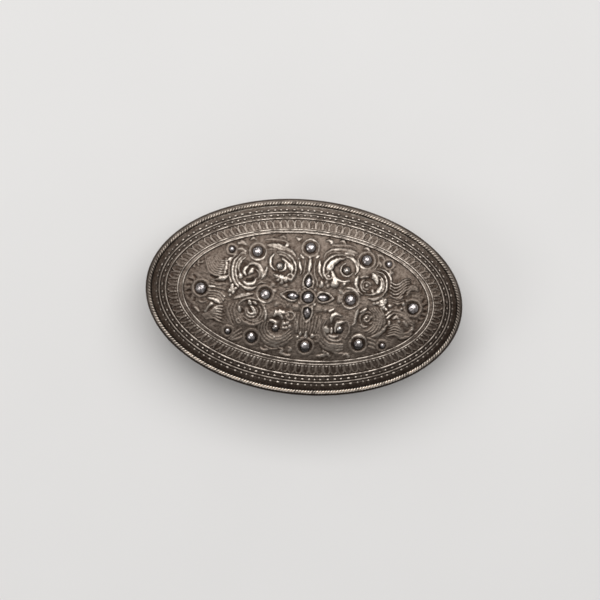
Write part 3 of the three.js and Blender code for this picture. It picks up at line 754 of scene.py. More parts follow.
def top_bars(r):
    """Bars towards the top boss, and the seats of the top and bottom bosses"""
    r.ridge([(0.8, 8.3), (0.8, 10), (0.8, 12)], (0.35, 0.6, 0.6, 0.4), 0.5, 1)
    r.dot(0.6, 12.8, 0.4, 0.36, 0.7)
    r.ridge([(-2.4, 10.9), (-2.1, 9.8), (-1.7, 8.6), (-2, 7)], (0.4, 0.5, 0.35, 0.15), 0.44,
            (0.9, 0.9, 0.5, 0.2))
    r.ridge([(3.9, 11.8), (3.9, 10), (4.2, 8.2), (5.2, 6.4)], (0.4, 0.55, 0.4, 0.2), 0.44,
            (0.9, 0.9, 0.6, 0.4))
    r.ridge([(2.4, 11.8), (2.4, 9.6), (2.7, 7.4), (3.8, 5)], (0.2, 0.3, 0.3, 0.2), 0.3, 0.25)
    r.ridge([(-0.7, 11.6), (-0.6, 9.6), (-0.9, 7.4)], (0.2, 0.3, 0.2), 0.28, 0.2)
    r.ridge([(4.8, 5.6), (5.4, 4.3)], (0.3, 0.55, 0.4), 0.38, 0.7)
    r.ridge([(3.6, 4.9), (3.9, 3.9)], (0.25, 0.4, 0.25), 0.3, 0.3)
    r.ridge([(-2.2, 13.2), (-1.3, 12.4)], (0.35, 0.45, 0.3), 0.38, 0.8)
    r.ridge([(3.4, 13.4), (2.6, 12.8)], (0.35, 0.45, 0.3), 0.36, 0.7)
    r.dot(-2.8, 12, 0.4, 0.32, 0.5)
    r.seat("boss_top", 2.65, (40, 140))
    r.seat("boss_bottom", 2.6)
    r.ridge([(-2.5, 18.4), (-3.3, 17.9), (-4.2, 18.5)], (0.3, 0.5, 0.25), 0.3, (0.2, 0.5, 0.2))


def bottom_fan(r):
    """A fan towards the bottom boss"""
    for k in range(-4, 5):
        r.ridge([(1.6 + 0.95 * k, -6.4 + 0.3 * abs(k)), (1.6 + 0.9 * k, -8.6), (1.6 + 0.7 * k, -11)],
                (0.15, 0.36, 0.34, 0.15), 0.24, (0.05, 0.3 if k == 3 else 0.12, 0.05))
    for x, y, size in ((0, -11.3, 0.4), (1.7, -11.8, 0.5), (3.6, -11.6, 0.5), (-0.9, -12.4, 0.5)):
        r.dot(x, y, size, 0.44, 1)
    r.ridge([(0, -10.6), (0, -11.6)], (0.2, 0.35), 0.36, 0.7)
    r.ridge([(1.7, -10.4), (1.7, -11.8)], (0.2, 0.5), 0.4, 0.9)
    r.arc(5, -12.2, (0.9, 1), (120, -110), (0.2, 0.3, 0.3, 0.2), 0.26, 0.2)


def frame_curls(r):
    """Small leaf curls between the scrolls and the frame"""
    curls = (((-6.4, -16.3), (-5.2, -16.8), (-5.6, -17.8), (-4.2, -18.4), (-2.8, -18.3)),
             ((-3.4, -15.8), (-2.8, -16.4), (-3.2, -17.2)),
             ((5.6, -17.8), (7, -17.5), (8.2, -17), (7.6, -16)), ((8.3, -16.2), (9, -16.9), (9.7, -17.5)),
             ((13.8, -16.8), (14.6, -16.4), (15.6, -16.8), (15.4, -17.4)),
             ((-12, -17), (-11, -17.5), (-9.8, -17.2)), ((-9.2, 18.2), (-8.2, 18.5), (-7.4, 18)),
             ((9.6, 18.6), (10.6, 18.8), (11.4, 18.2)), ((-18.4, 16.4), (-17.6, 17), (-16.6, 16.7)),
             ((17.2, 17), (18.2, 17.2), (19, 16.6)))
    for k, points in enumerate(curls):
        r.ridge(points, (0.25, 0.5, 0.3), 0.34, (0.25, 0.7 if k < 5 else 0.4, 0.3))


# In the order in which the work is laid, as later work covers earlier
ORNAMENT = (swellings, end_leaves, end_clusters, end_cuts, upper_left_inner, upper_left_outer,
            upper_left_wing, upper_right_inner, upper_right_outer, upper_right_wing, lower_left_inner,
            lower_left_outer, lower_left_wing, lower_right_inner, lower_right_outer, lower_right_wing,
            leaf_frames, middle_dots, top_bars, bottom_fan, frame_curls)


def chased_panel(x, y):
    """All the work on the panel"""
    r = Relief(x, y)
    for lay in ORNAMENT:
        lay(r)
    return r


# Crown

PANEL_COLUMNS = 424
PANEL_ROWS = 212
PANEL_RIM_FADE = 0.02
PANEL_SOFTENING = 0.35
UNDERSIDE_SHARES = (1, 0.97, 0.8, 0.55, 0.3)
WANDER_X = ((0.12, 2.5, 1), (0.1, 1.1, 9))
WANDER_Y = ((0.12, 2.5, 2), (0.1, 1.1, 10))
PANEL_LUMPS = ((0.07, 0.8, 3), (0.06, 3, 4))
HOLLOW_REACH = 6


def disc_points(columns, rows):
    """A grid of points drawn out from a square to a round disc of radius 1"""
    u, v = np.meshgrid(np.linspace(-1, 1, columns + 1), np.linspace(-1, 1, rows + 1))
    wide = np.abs(u) > np.abs(v)
    radius = np.where(wide, u, v)
    safe = np.where(radius == 0, 1, radius)
    angle = np.where(wide, np.pi / 4 * v / safe, np.pi / 2 - np.pi / 4 * u / safe)
    return radius * np.cos(angle), radius * np.sin(angle)


def crown_panel(material):
    """The scroll panel: a closed sheet with the chased work on its top"""
    disc_x, disc_y = disc_points(PANEL_COLUMNS, PANEL_ROWS)
    rim_x, rim_y = oval(SEAM_INSET, np.array([0, np.pi / 2]), True)
    x = (PANEL_SHIFT[0] + disc_x * (rim_x[0] - PANEL_SHIFT[0])).ravel()
    y = (PANEL_SHIFT[1] + disc_y * (rim_y[1] - PANEL_SHIFT[1])).ravel()
    work = chased_panel(x + lumps(x, y, WANDER_X), y + lumps(x, y, WANDER_Y))
    relief = (work.z + work.swollen + lumps(x, y, PANEL_LUMPS)).reshape(disc_x.shape)
    relief *= np.clip((1 - np.hypot(disc_x, disc_y)) / PANEL_RIM_FADE, 0, 1)
    relief = (1 - PANEL_SOFTENING) * relief + PANEL_SOFTENING * blurred(relief, 1)
    top = np.column_stack([x, y, panel_height(x, y) + relief.ravel()])
    numbers = np.arange(relief.size).reshape(relief.shape)
    rim = np.concatenate([numbers[0, :-1], numbers[:-1, -1], numbers[-1, :0:-1], numbers[:0:-1, 0]])
    under, walls, tips = panel_underside(top, rim)
    faces = np.vstack([grid_faces(*relief.shape, wrap_columns=False), *walls])
    points = np.vstack([top, *under])
    piece = make_piece("crown_panel", points, [faces, tips], "lid", "lid_crown", material)
    add_values(piece, "relief", (relief - blurred(relief, HOLLOW_REACH)).ravel())
    # Patina and painted shade for the panel, then its wear and painted highlights
    add_values(piece, "tarnish_and_shade", panel_tarnish_and_shade(x, y))
    add_values(piece, "shine", work.shine)


def panel_underside(top, rim):
    """Rings of points under the panel, from its rim to its middle, and the faces that close it"""
    points, walls = [], []
    ring_before = rim
    for share in UNDERSIDE_SHARES:
        x, y = (PANEL_SHIFT + share * (top[rim, :2] - PANEL_SHIFT)).T
        ring = len(top) + len(points) * len(rim) + np.arange(len(rim))
        points.append(np.column_stack([x, y, panel_height(x, y) - SHEET]))
        walls.append(np.column_stack([np.roll(ring_before, -1), ring_before, ring, np.roll(ring, -1)]))
        ring_before = ring
    points.append([[*PANEL_SHIFT, panel_height(*PANEL_SHIFT) - SHEET]])
    return points, walls, fan_faces(ring_before[::-1], ring_before[-1] + 1)


def panel_tarnish_and_shade(x, y):
    """Patina and painted shade on the panel: dark round each boss, as patina and as painted shade, patina
    along the frame wire, painted shade towards the ends, and painted light towards the front
    """
    round_bosses = np.zeros(len(x))
    for node in BOSSES:
        low, high = box_mm(node)
        middle, half = (low[:2] + high[:2]) / 2, (high[:2] - low[:2]) / 2
        way = np.hypot((x - middle[0]) / half[0], (y - middle[1]) / half[1])
        off = np.clip(way - 1, 0, None) * half.min()
        round_bosses = np.maximum(round_bosses, near(off, 0, 0.25))
    out = np.hypot(*panel_place(x, y)) * PANEL_HALF_WIDTH
    at_edge = near(out, PANEL_HALF_WIDTH, 0.7)
    to_ends = (x / PANEL_HALF_LENGTH) ** 2
    to_front = np.clip(-y / PANEL_HALF_WIDTH, 0, 1)
    return np.maximum(0.55 * round_bosses, 0.3 * at_edge) + 0.3 * to_ends - 0.2 * to_front


# Border, from the rope to the panel

BORDER_COLUMNS = 1260
BORDER_ROWS = 60
BORDER_LUMPS = ((0.03, 0.9, 5), (0.04, 4, 6))
BORDER_HOLLOW_REACH = 5
ROPE_SIDE_FADE = 0.4
SEAM_FADE = 0.2
UNDERSIDE_INSETS = (SEAM_INSET, 9, 7, 5, CROWN_INSET + SHEET)
PETALS = 94
PETAL_LINE_INSET = 8
PETAL_WANDER = 0.02
PETAL_OUTER_INSET = wire_inset("petal_band_outer_wire") + 0.39
PETAL_INNER_INSET = wire_inset("petal_band_inner_wire") - 0.31
PETAL_HEIGHT = 0.22
PETAL_DEPTH = 0.06
PETAL_SHINE = 0.5
FULL_SHINE_HEIGHT = 0.16

# Shares of a petal's half-width
PETAL_SIDE = 0.84
PETAL_LINE = 0.2
FOOT_REACH = 0.4

# Shares of the way from a petal's head to its foot
HEAD_LENGTH = 0.32
HEAD_POWER = 0.42
BAR_START = 0.45
BAR_FADE = 0.2
FOOT_WAY = 0.88
FOOT_LENGTH = 0.09

INNER_BEADS_SIDE_INSET = wire_inset("inner_beaded_wire") + 0.45
BETWEEN_BEADS_INSET = wire_inset("wire_between_beads") + 0.14
FRAME_GROUND_INSET = SEAM_INSET - 0.36
CROWN_WIRES = ("outer_beaded_wire", "wire_between_beads", "inner_beaded_wire", "petal_band_outer_wire",
               "petal_band_inner_wire", "panel_frame_wire")


def petal_relief(inset, angles):
    """The band of upright tongues between its two wires, with their pointed heads outwards"""
    phase = angles * PETALS / FULL_TURN
    number = np.floor(phase)
    across = np.abs(2 * (phase % 1) - 1)
    depth = 1 + 0.35 * np.sin(2.4 * number) * np.sin(0.7 * number)
    way = (inset - PETAL_OUTER_INSET) / (PETAL_INNER_INSET - PETAL_OUTER_INSET)
    inside = np.clip(way / 0.05, 0, 1) * np.clip((1 - way) / 0.08, 0, 1)
    head = PETAL_SIDE * np.clip(way / HEAD_LENGTH, 0, 1) ** HEAD_POWER
    outline = near(across, head, PETAL_LINE)
    bar = 0.6 * near(across, 0, PETAL_LINE) * np.clip((way - BAR_START) / BAR_FADE, 0, 1)
    foot = 1.1 * near(across, 0, FOOT_REACH) * near(way, FOOT_WAY, FOOT_LENGTH)
    return inside * depth * (PETAL_HEIGHT * np.maximum(np.maximum(outline, bar), foot) - PETAL_DEPTH)


def even_petal_angles(angles):
    """Angles changed so that the petals come out equally wide, apart from a small wander"""
    line = np.array(oval(PETAL_LINE_INSET, np.append(angles, FULL_TURN)))
    length = np.concatenate([[0], np.cumsum(np.hypot(*np.diff(line, axis=1)))])
    return length[:-1] / length[-1] * FULL_TURN + swell(angles, PETAL_WANDER, (7, 11, 17))


def crown_border(material):
    """The sloping border: a closed ring with the petals on its top"""
    angles = turns_of(BORDER_COLUMNS)
    petal_angles = even_petal_angles(angles)
    insets = np.linspace(CROWN_INSET, SEAM_INSET, BORDER_ROWS)
    rows, relief = [], []
    for inset in insets:
        x, y = oval(inset, angles, True)
        raised = petal_relief(inset, petal_angles) + lumps(x, y, BORDER_LUMPS)
        raised *= min(1, (inset - CROWN_INSET) / ROPE_SIDE_FADE, (SEAM_INSET - inset) / SEAM_FADE)
        rows.append(np.column_stack([x, y, crown_height(inset) + raised]))
        relief.append(raised)
    underside = [(inset, crown_height(inset) - SHEET) for inset in UNDERSIDE_INSETS]
    for inset, z in [*underside, (CROWN_INSET, CROWN_BOTTOM_Z)]:
        x, y = oval(inset, angles, True)
        rows.append(np.column_stack([x, y, np.full(len(x), z)]))
    faces = grid_faces(len(rows), BORDER_COLUMNS, wrap_rows=True)
    piece = make_piece("crown_border", np.vstack(rows), [faces], "lid", "lid_crown", material)
    relief = np.array(relief)
    add_values(piece, "relief", (relief - blurred(relief, BORDER_HOLLOW_REACH)).ravel())
    # Patina, painted shade and painted light for the border, then its wear and painted highlights
    add_values(piece, "tarnish_and_shade", np.concatenate([border_tarnish_and_painted_light(inset, angles) for inset in insets]))
    shine = [border_wear_and_highlights(inset, angles, raised) for inset, raised in zip(insets, relief)]
    add_values(piece, "shine", np.concatenate(shine))


def border_wear_and_highlights(inset, angles, raised):
    """Wear and painted highlights on the border: on the petals, painted brightest on their feet at the front,
    and painted light on the ground beside the rope, the beads and the frame wires"""
    back, front = np.clip(np.sin(angles), 0, 1), np.clip(-np.sin(angles), 0, 1)
    petals = PETAL_SHINE * (1 - 0.45 * np.cos(angles) ** 4) * (1 - 0.4 * front)
    feet = 1.1 * front * near(inset, PETAL_INNER_INSET - 0.3, 0.25)
    rope_side = (back + 0.25) * near(inset, CROWN_INSET - 0.1, 0.45)
    beads = 0.5 * front * near(inset, INNER_BEADS_SIDE_INSET, 0.5)
    beads += 0.4 * back * near(inset, BETWEEN_BEADS_INSET, 1.4)
    frame_ground = (0.25 + 0.25 * back) * near(inset, FRAME_GROUND_INSET, 0.5)
    return np.clip(raised / FULL_SHINE_HEIGHT, 0, 1) * (petals + feet) + rope_side + beads + frame_ground


def border_tarnish_and_painted_light(inset, angles):
    """Patina, painted shade and painted light on the border: patina beside the wires, lightened at the back
    as painted light; painted shade on the bare slope inside the rope, most at the front and the ends, and
    over the front and the ends; painted light by the frame wire, most at the back, and at the back beside the
    rope
    """
    share = 0.1 if inset > PETAL_INNER_INSET else 0.45
    beside_wires = share * max(near(inset, wire_inset(node), 0.45) for node in CROWN_WIRES)
    slope = near(inset, CROWN_INSET + 0.2, 0.9)
    front = 0.5 - 0.5 * np.sin(angles)
    back = np.clip(np.sin(angles), 0, 1)
    ends = np.cos(angles) ** 4
    # Painted light: the frame ground is lightened, most at the back, and the slope beside the rope at the
    # back
    painted_light = (0.15 + 0.25 * back) * near(inset, FRAME_GROUND_INSET, 0.5)
    painted_light += 0.5 * back * near(inset, CROWN_INSET - 0.2, 0.4)
    dark = beside_wires * (1 - 0.7 * back) + slope * (0.15 + 0.7 * front + 0.15 * ends)
    return np.clip(dark + 0.15 * front + 0.3 * ends - painted_light, -0.5, 1)


# Wires

FINE_STEPS = 20000
TUBE_SIDES = 10
UP = np.array([0, 0, 1.0])

# Painted light on each wire at its back, its two ends and its front: how bright its top is painted on each
# side of the box
WIRE_PAINTED_LIGHT = {
    "lid_rope_wire": (0.85, 0.1, 1.5),
    "outer_beaded_wire": (1.7, 0.25, 1),
    "inner_beaded_wire": (1.7, 0.3, 1.6),
    "wire_between_beads": (0.7, 0.12, 0.4),
    "petal_band_outer_wire": (0.9, 0.25, 1),
    "petal_band_inner_wire": (1, 0.6, 0.6),
    "panel_frame_wire": (1, 0.65, 0.8),
}


def wire_ring(node):
    """Half-length and half-width, middle and radius of a round wire, from its box"""
    low, high = box_mm(node)
    radius = (high[2] - low[2]) / 2
    return (high[:2] - low[:2]) / 2 - radius, (low + high) / 2, radius


def ring_lengths(half):
    """Fine angles round an oval, and how far round it each one lies"""
    fine = np.linspace(0, FULL_TURN, FINE_STEPS + 1)
    x, y = half[0] * np.cos(fine), half[1] * np.sin(fine)
    return fine, np.concatenate([[0], np.cumsum(np.hypot(np.diff(x), np.diff(y)))])


def ring_line(half, middle, steps):
    """Evenly spaced points round an oval, and how far round each one is, from 0 to 1"""
    fine, lengths = ring_lengths(half)
    share = np.arange(steps) / steps
    angle = np.interp(share * lengths[-1], lengths, fine)
    x, y = middle[0] + half[0] * np.cos(angle), middle[1] + half[1] * np.sin(angle)
    return np.column_stack([x, y, np.full(steps, middle[2])]), share


def directions(line):
    """The way along a closed line at each point, and the level way across it"""
    forward = np.roll(line, -1, axis=0) - np.roll(line, 1, axis=0)
    forward /= np.linalg.norm(forward, axis=1)[:, None]
    side = np.cross(forward, UP)
    return forward, side / np.linalg.norm(side, axis=1)[:, None]


def tube_rings(line, radii, sides):
    """Rings of points round a closed line, the faces between them, and how far up each point faces"""
    forward, side = directions(line)
    up = np.cross(side, forward)
    turns = turns_of(sides)
    around = np.cos(turns)[None, :, None] * side[:, None] + np.sin(turns)[None, :, None] * up[:, None]
    points = line[:, None] + np.asarray(radii)[:, None, None] * around
    faces = grid_faces(len(line), sides, wrap_rows=True)
    return points.reshape(-1, 3), faces, np.tile(np.sin(turns), len(line))


def wire_piece(name, node, points, faces, relief, material):
    piece = make_piece(name, points, [faces], "lid", node, material)
    add_values(piece, "relief", relief)
    add_values(piece, "shine", ring_painted_light(points, *WIRE_PAINTED_LIGHT[node]))


ROPE_TURNS = 136
STEPS_PER_TURN = 14
STRAND_SHARE = 0.52
STRAND_SIDES = 8
TWIST_SWAY = 0.25
TWIST_WAVES = 9
ROPE_PAINTED_LIGHT = (0.1, 0.2, 0.25)


def rope_wire(material):
    """Two strands twisted round each other"""
    half, middle, radius = wire_ring("lid_rope_wire")
    strand_radius = STRAND_SHARE * radius
    line, share = ring_line(half, middle, ROPE_TURNS * STEPS_PER_TURN)
    side = directions(line)[1]
    uneven_twist = TWIST_SWAY * np.sin(FULL_TURN * TWIST_WAVES * share)
    points, faces = [], []
    for strand in (0, 1):
        twist = FULL_TURN * (ROPE_TURNS * share + strand / 2) + uneven_twist
        offset = (radius - strand_radius) * (np.cos(twist)[:, None] * side + np.sin(twist)[:, None] * UP)
        radii = np.full(len(line), strand_radius)
        strand_points, strand_faces, _ = tube_rings(line + offset, radii, STRAND_SIDES)
        faces.append(strand_faces + strand * len(strand_points))
        points.append(strand_points)
    points = np.vstack(points)
    # Painted light: the rope's top is painted bright as lit from above, brighter towards the front and the
    # ends
    relief = (points[:, 2] - middle[2]) / radius + ring_painted_light(points, *ROPE_PAINTED_LIGHT)
    wire_piece("lid_rope_wire_strands", "lid_rope_wire", points, np.vstack(faces), relief, material)


BEAD_PITCH = 2.05
STEPS_PER_BEAD = 14
BEAD_SHARE = 0.45
NECK_RADIUS = 0.38
BEAD_SWELL = 0.66
NECK_TARNISH_AND_SHADE = 0.4
GOLDEN_RATIO = 1.618


def beaded_wire(node, material):
    """A row of beads with thin necks between them"""
    half, middle, radius = wire_ring(node)
    beads = round(ring_lengths(half)[1][-1] / BEAD_PITCH)
    line, share = ring_line(half, middle, beads * STEPS_PER_BEAD)
    wander = 0.12 * np.sin(FULL_TURN * 13 * share) + 0.1 * np.sin(FULL_TURN * 31 * share)
    phase = share * beads + wander
    size = 1 + 0.09 * np.sin(FULL_TURN * GOLDEN_RATIO * np.floor(phase))
    across = 2 * (phase % 1) - 1
    bulge = np.sqrt(np.clip(1 - (across / BEAD_SHARE) ** 2, 0, 1))
    radii = radius * (NECK_RADIUS + BEAD_SWELL * bulge * size)
    points, faces, up_share = tube_rings(line, radii, TUBE_SIDES)
    bulge = np.repeat(bulge, TUBE_SIDES)
    # Painted light and shade: the beads' tops bright as lit from above, their necks dark as patina and
    # painted shade
    wire_piece(node + "_beads", node, points, faces, up_share * bulge - NECK_TARNISH_AND_SHADE * (1 - bulge), material)


PLAIN_WIRE_STEPS = 900


def plain_wire(node, material):
    """A drawn wire, a little uneven in height and thickness"""
    half, middle, radius = wire_ring(node)
    line, share = ring_line(half, middle, PLAIN_WIRE_STEPS)
    angles = FULL_TURN * share
    line[:, 2] += swell(angles, 0.02, (5, 9, 23, 41))
    radii = radius * (1 + swell(angles, 0.08, (3, 7, 19, 37, 61)))
    points, faces, up_share = tube_rings(line, radii, TUBE_SIDES)
    # Painted light: the wire's top is painted bright and its underside dark, as lit from above
    wire_piece(node + "_drawn", node, points, faces, up_share, material)


# Bosses

DOME_SIDES = 48
DOME_RINGS = 14
FRONT_LEAN = 0.3
FRONT_REACH = 12
MOST_BACKWARD = 0.2
FRONT_NARROWING = 0.35
LEAF_LEAN = 0.3
LEAF_TIP_PAINTED_SHADE = 0.5
LEAF_HIGHLIGHT_SHARE = 0.1
BACK_PAINTED_HIGHLIGHT = 3.6
FRONT_PAINTED_SHADE = 0.8
DENTS = (0.06, 0.6, 7)
SHRINKAGE = 0.03


def dome_points(half_length, half_width, height, pointed, lean):
    """A dome on a flat base, its rings from the base up, then its top and the middle of its base.
    Its top leans a share of the length towards one end."""
    turns = turns_of(DOME_SIDES)
    edge_y = np.sin(turns) * (np.sqrt(np.abs(np.sin(turns))) if pointed else 1)
    points = []
    for a in np.linspace(0, np.pi / 2, DOME_RINGS, endpoint=False):
        x = half_length * (np.cos(turns) * np.cos(a) + lean * (1 - np.cos(a)))
        y = half_width * edge_y * np.cos(a)
        points.append(np.column_stack([x, y, np.full(DOME_SIDES, height * np.sin(a))]))
    points.append([[half_length * lean, 0, height], [0, 0, 0]])
    foot_ring = np.arange(DOME_SIDES)
    top_ring = foot_ring + (DOME_RINGS - 1) * DOME_SIDES
    top = DOME_RINGS * DOME_SIDES
    tips = fan_faces(top_ring, top) + fan_faces(foot_ring[::-1], top + 1)
    return np.vstack(points), [grid_faces(DOME_RINGS, DOME_SIDES), tips]


def boss(node, material):
    """A dome in the place of its node, square to the panel. Round domes at the front lean to the back. A
    leaf dome is longer one way and leans to the panel's middle."""
    low, high = box_mm(node)
    x, y = (low[:2] + high[:2]) / 2
    half_x, half_y = (high[:2] - low[:2]) / 2
    long_side, short_side = max(half_x, half_y), min(half_x, half_y)
    normal = panel_normal(x, y)
    sunk = math.sqrt(1 - normal.z**2) * long_side
    height = high[2] - low[2] - sunk
    pointed = node.startswith("leaf")
    along_y = half_y > half_x or not pointed
    if pointed:
        lean = LEAF_LEAN * np.sign((PANEL_SHIFT - (x, y))[1 if along_y else 0])
    else:
        lean = FRONT_LEAN * np.clip(-y / FRONT_REACH, -MOST_BACKWARD, 1)
        short_side *= 1 - FRONT_NARROWING * max(lean, 0)
    points, faces = dome_points(long_side, short_side, height, pointed, lean)
    # The relief values paint the dome: dark at the foot as patina and painted shade, leaf tips painted dark,
    # and on the front domes the back half painted bright and the front half dark as shade
    along, up = points[:, 0] / long_side, points[:, 2] / height
    if pointed:
        relief = up - LEAF_TIP_PAINTED_SHADE * np.clip(np.abs(along) - LEAF_HIGHLIGHT_SHARE, 0, 1)
    else:
        relief = up + BACK_PAINTED_HIGHLIGHT * lean * along - FRONT_PAINTED_SHADE * max(lean, 0)
    turn = Matrix.Rotation(np.pi / 2 if along_y else 0, 4, "Z")
    square = Vector((0, 0, 1)).rotation_difference(normal).to_matrix().to_4x4()
    place = Matrix.Translation((x, y, low[2] + sunk)) @ square @ turn
    points *= (1 - SHRINKAGE + lumps(points[:, 0] + x, points[:, 1] + y, [DENTS]))[:, None]
    points = np.array([place @ Vector(p) for p in points])
    piece = make_piece(node + "_dome", points, faces, "lid", node, material)
    add_values(piece, "relief", relief)


# Materials

class Shader:
    """Builds one material's nodes"""

    def __init__(self, name):
        self.material = bpy.data.materials.new(name)
        self.material.use_nodes = True
        self.tree = self.material.node_tree
        self.shader = self.tree.nodes["Principled BSDF"]
        self.place = self.tree.nodes.new("ShaderNodeTexCoord").outputs["Object"]

    def link(self, value, socket):
        if isinstance(value, bpy.types.NodeSocket):
            self.tree.links.new(value, socket)
        else:
            socket.default_value = value

    def set(self, **values):
        for name, value in values.items():
            self.link(value, self.shader.inputs[name.replace("_", " ")])

    def math(self, operation, a, b):
        node = self.tree.nodes.new("ShaderNodeMath")
        node.operation = operation
        self.link(a, node.inputs[0])
        self.link(b, node.inputs[1])
        return node.outputs[0]

    def plus(self, a, b):
        return self.math("ADD", a, b)

    def times(self, a, b):
        return self.math("MULTIPLY", a, b)

    def noise(self, size, detail=4.0, stretch=(1, 1, 1), roughness=0.5):
        """Fine noise from 0 to 1, with lumps of a size in millimetres"""
        mapping = self.tree.nodes.new("ShaderNodeMapping")
        mapping.inputs["Scale"].default_value = stretch
        self.link(self.place, mapping.inputs["Vector"])
        node = self.tree.nodes.new("ShaderNodeTexNoise")
        node.inputs["Scale"].default_value = 1 / (size * MM)
        node.inputs["Detail"].default_value = detail
        node.inputs["Roughness"].default_value = roughness
        self.link(mapping.outputs[0], node.inputs["Vector"])
        return node.outputs[0]

    def unevenness(self, size, amount, **how):
        """Noise about 0, times an amount"""
        return self.times(self.math("SUBTRACT", self.noise(size, **how), 0.5), amount)

    def facets(self, size):
        """Shallow hammer marks: distance to the nearest of many random points"""
        node = self.tree.nodes.new("ShaderNodeTexVoronoi")
        node.feature = "SMOOTH_F1"
        node.inputs["Scale"].default_value = 1 / (size * MM)
        node.inputs["Smoothness"].default_value = 0.4
        self.link(self.place, node.inputs["Vector"])
        return node.outputs["Distance"]

    def values(self, name):
        """The numbers that add_values put on the piece"""
        node = self.tree.nodes.new("ShaderNodeAttribute")
        node.attribute_name = name
        return node.outputs["Fac"]

    def edges(self):
        """How far the surface bulges, from 0 in corners to 1 on edges"""
        return self.tree.nodes.new("ShaderNodeNewGeometry").outputs["Pointiness"]

    def spread(self, value, low, high, out_low=0.0, out_high=1.0):
        """A smooth step from one value to another as a value goes from low to high"""
        node = self.tree.nodes.new("ShaderNodeMapRange")
        node.interpolation_type = "SMOOTHSTEP"
        self.link(value, node.inputs["Value"])
        node.inputs["From Min"].default_value = low
        node.inputs["From Max"].default_value = high
        node.inputs["To Min"].default_value = out_low
        node.inputs["To Max"].default_value = out_high
        return node.outputs["Result"]

    def blend(self, share, low, high):
        """A colour between two"""
        node = self.tree.nodes.new("ShaderNodeMix")
        node.data_type = "RGBA"
        self.link(share, node.inputs["Factor"])
        for value, socket in ((low, node.inputs[6]), (high, node.inputs[7])):
            self.link(value if isinstance(value, bpy.types.NodeSocket) else (*value, 1), socket)
        return node.outputs[2]

    def bump(self, height, depth):
        """Bumps of a height from 0 to 1 times a depth in millimetres"""
        node = self.tree.nodes.new("ShaderNodeBump")
        node.inputs["Distance"].default_value = depth * MM
        self.link(height, node.inputs["Height"])
        self.link(node.outputs[0], self.shader.inputs["Normal"])


# Wear on raised work and edges, and painted highlight on the chased work
WORN_AND_HIGHLIGHT = (0.51, 0.452, 0.394)
SATIN = (0.2, 0.162, 0.134)
# Patina in the hollows, and painted shade where the panel and border values lay it
DARK_TARNISH_AND_SHADE = (0.05, 0.034, 0.025)
# A painted highlight on the domes
PAINTED_HIGHLIGHT = (0.86, 0.82, 0.81)
POLISHED = (0.58, 0.535, 0.53)
FILM = (0.225, 0.2, 0.195)
# Patina at the domes' foot, and painted shade on the front domes' front halves
FOOT_FILM_AND_SHADE = (0.076, 0.068, 0.065)
DULLED = (0.48, 0.45, 0.42)
WALL_DARK = (0.16, 0.132, 0.112)
WALL_LIGHT = (0.4, 0.36, 0.32)
EDGE_DARK = (0.075, 0.058, 0.046)
EDGE_LIGHT = (0.17, 0.14, 0.118)
# Painted shade on the front of the mouldings
EDGE_FRONT_SHADE = (0.04, 0.03, 0.024)
INNER_DARK = (0.38, 0.345, 0.3)
INNER_LIGHT = (0.56, 0.53, 0.49)
# Wire tops: wear and painted highlight; wire flanks: patina and painted shade
ROPE_WORN_AND_LIT = (0.84, 0.74, 0.64)
ROPE_FLANK = (0.155, 0.127, 0.106)
WIRE_WORN_AND_LIT = (0.66, 0.58, 0.505)
WIRE_FLANK = (0.18, 0.148, 0.124)
BEAD_WORN_AND_LIT = (0.56, 0.49, 0.425)
BEAD_FLANK = (0.105, 0.083, 0.068)
FLOOR_DARK = (0.72, 0.71, 0.70)
FLOOR_LIGHT = (0.75, 0.74, 0.73)
DULL_ROUGHNESS = 0.5
WORN_ROUGHNESS = 0.36
CHASED_ROUGHNESS = 0.34


def chased_silver():
    """Bright where the raised work is worn and where highlights are painted on it, dull brown-grey on the
    ground, dark in the grooves, and darker where painted shade is laid with the patina
    """
    s = Shader("chased_silver")
    # Painted shade comes in here with the patina values
    height = s.math("SUBTRACT", s.values("relief"), s.times(s.values("tarnish_and_shade"), 0.16))
    height = s.plus(height, s.unevenness(0.7, 0.3, detail=4, roughness=0.6))
    height = s.plus(height, s.unevenness(6, 0.16, detail=5))
    ground = s.blend(s.spread(height, -0.2, 0.1), DARK_TARNISH_AND_SHADE, SATIN)
    uneven = s.unevenness(1.5, 2.4, detail=5, roughness=0.75)
    shine = s.times(s.plus(uneven, 1.0), s.values("shine"))
    # Wear and painted highlight together
    worn_and_lit = s.times(s.spread(shine, 0.05, 1.05), s.spread(height, -0.08, 0.08))
    s.set(Base_Color=s.blend(worn_and_lit, ground, WORN_AND_HIGHLIGHT), Metallic=1.0,
          Roughness=s.spread(worn_and_lit, 0, 1, DULL_ROUGHNESS, CHASED_ROUGHNESS))
    matting = s.times(s.facets(0.6), s.spread(worn_and_lit, 0, 1, 1, 0.45))
    s.bump(s.plus(matting, s.times(s.noise(0.3, detail=3), 0.5)), 0.07)
    return s.material


def wall_silver(name, dark, light, raised, front=None):
    """Hammered and unevenly tarnished, with its edges worn to a colour of their own. With a front colour it
    darkens to that where its painted light is low, as painted shade at the front."""
    s = Shader(name)
    patches = s.noise(11, detail=9, roughness=0.64)
    streaks = s.noise(1.2, detail=3, stretch=(1, 1, 3))
    worn = s.spread(s.plus(patches, s.times(streaks, 0.3)), 0.45, 0.85)
    colour = s.blend(s.spread(s.edges(), 0.52, 0.66), s.blend(worn, dark, light), raised)
    if front:
        # Painted shade: the front of the mouldings darkens to the front colour
        colour = s.blend(s.values("shine"), front, colour)
    s.set(Base_Color=colour, Metallic=1.0, Roughness=s.spread(worn, 0, 1, DULL_ROUGHNESS, WORN_ROUGHNESS))
    s.bump(s.plus(s.facets(3.2), s.times(s.noise(0.3, detail=2), 0.12)), 0.16)
    return s.material


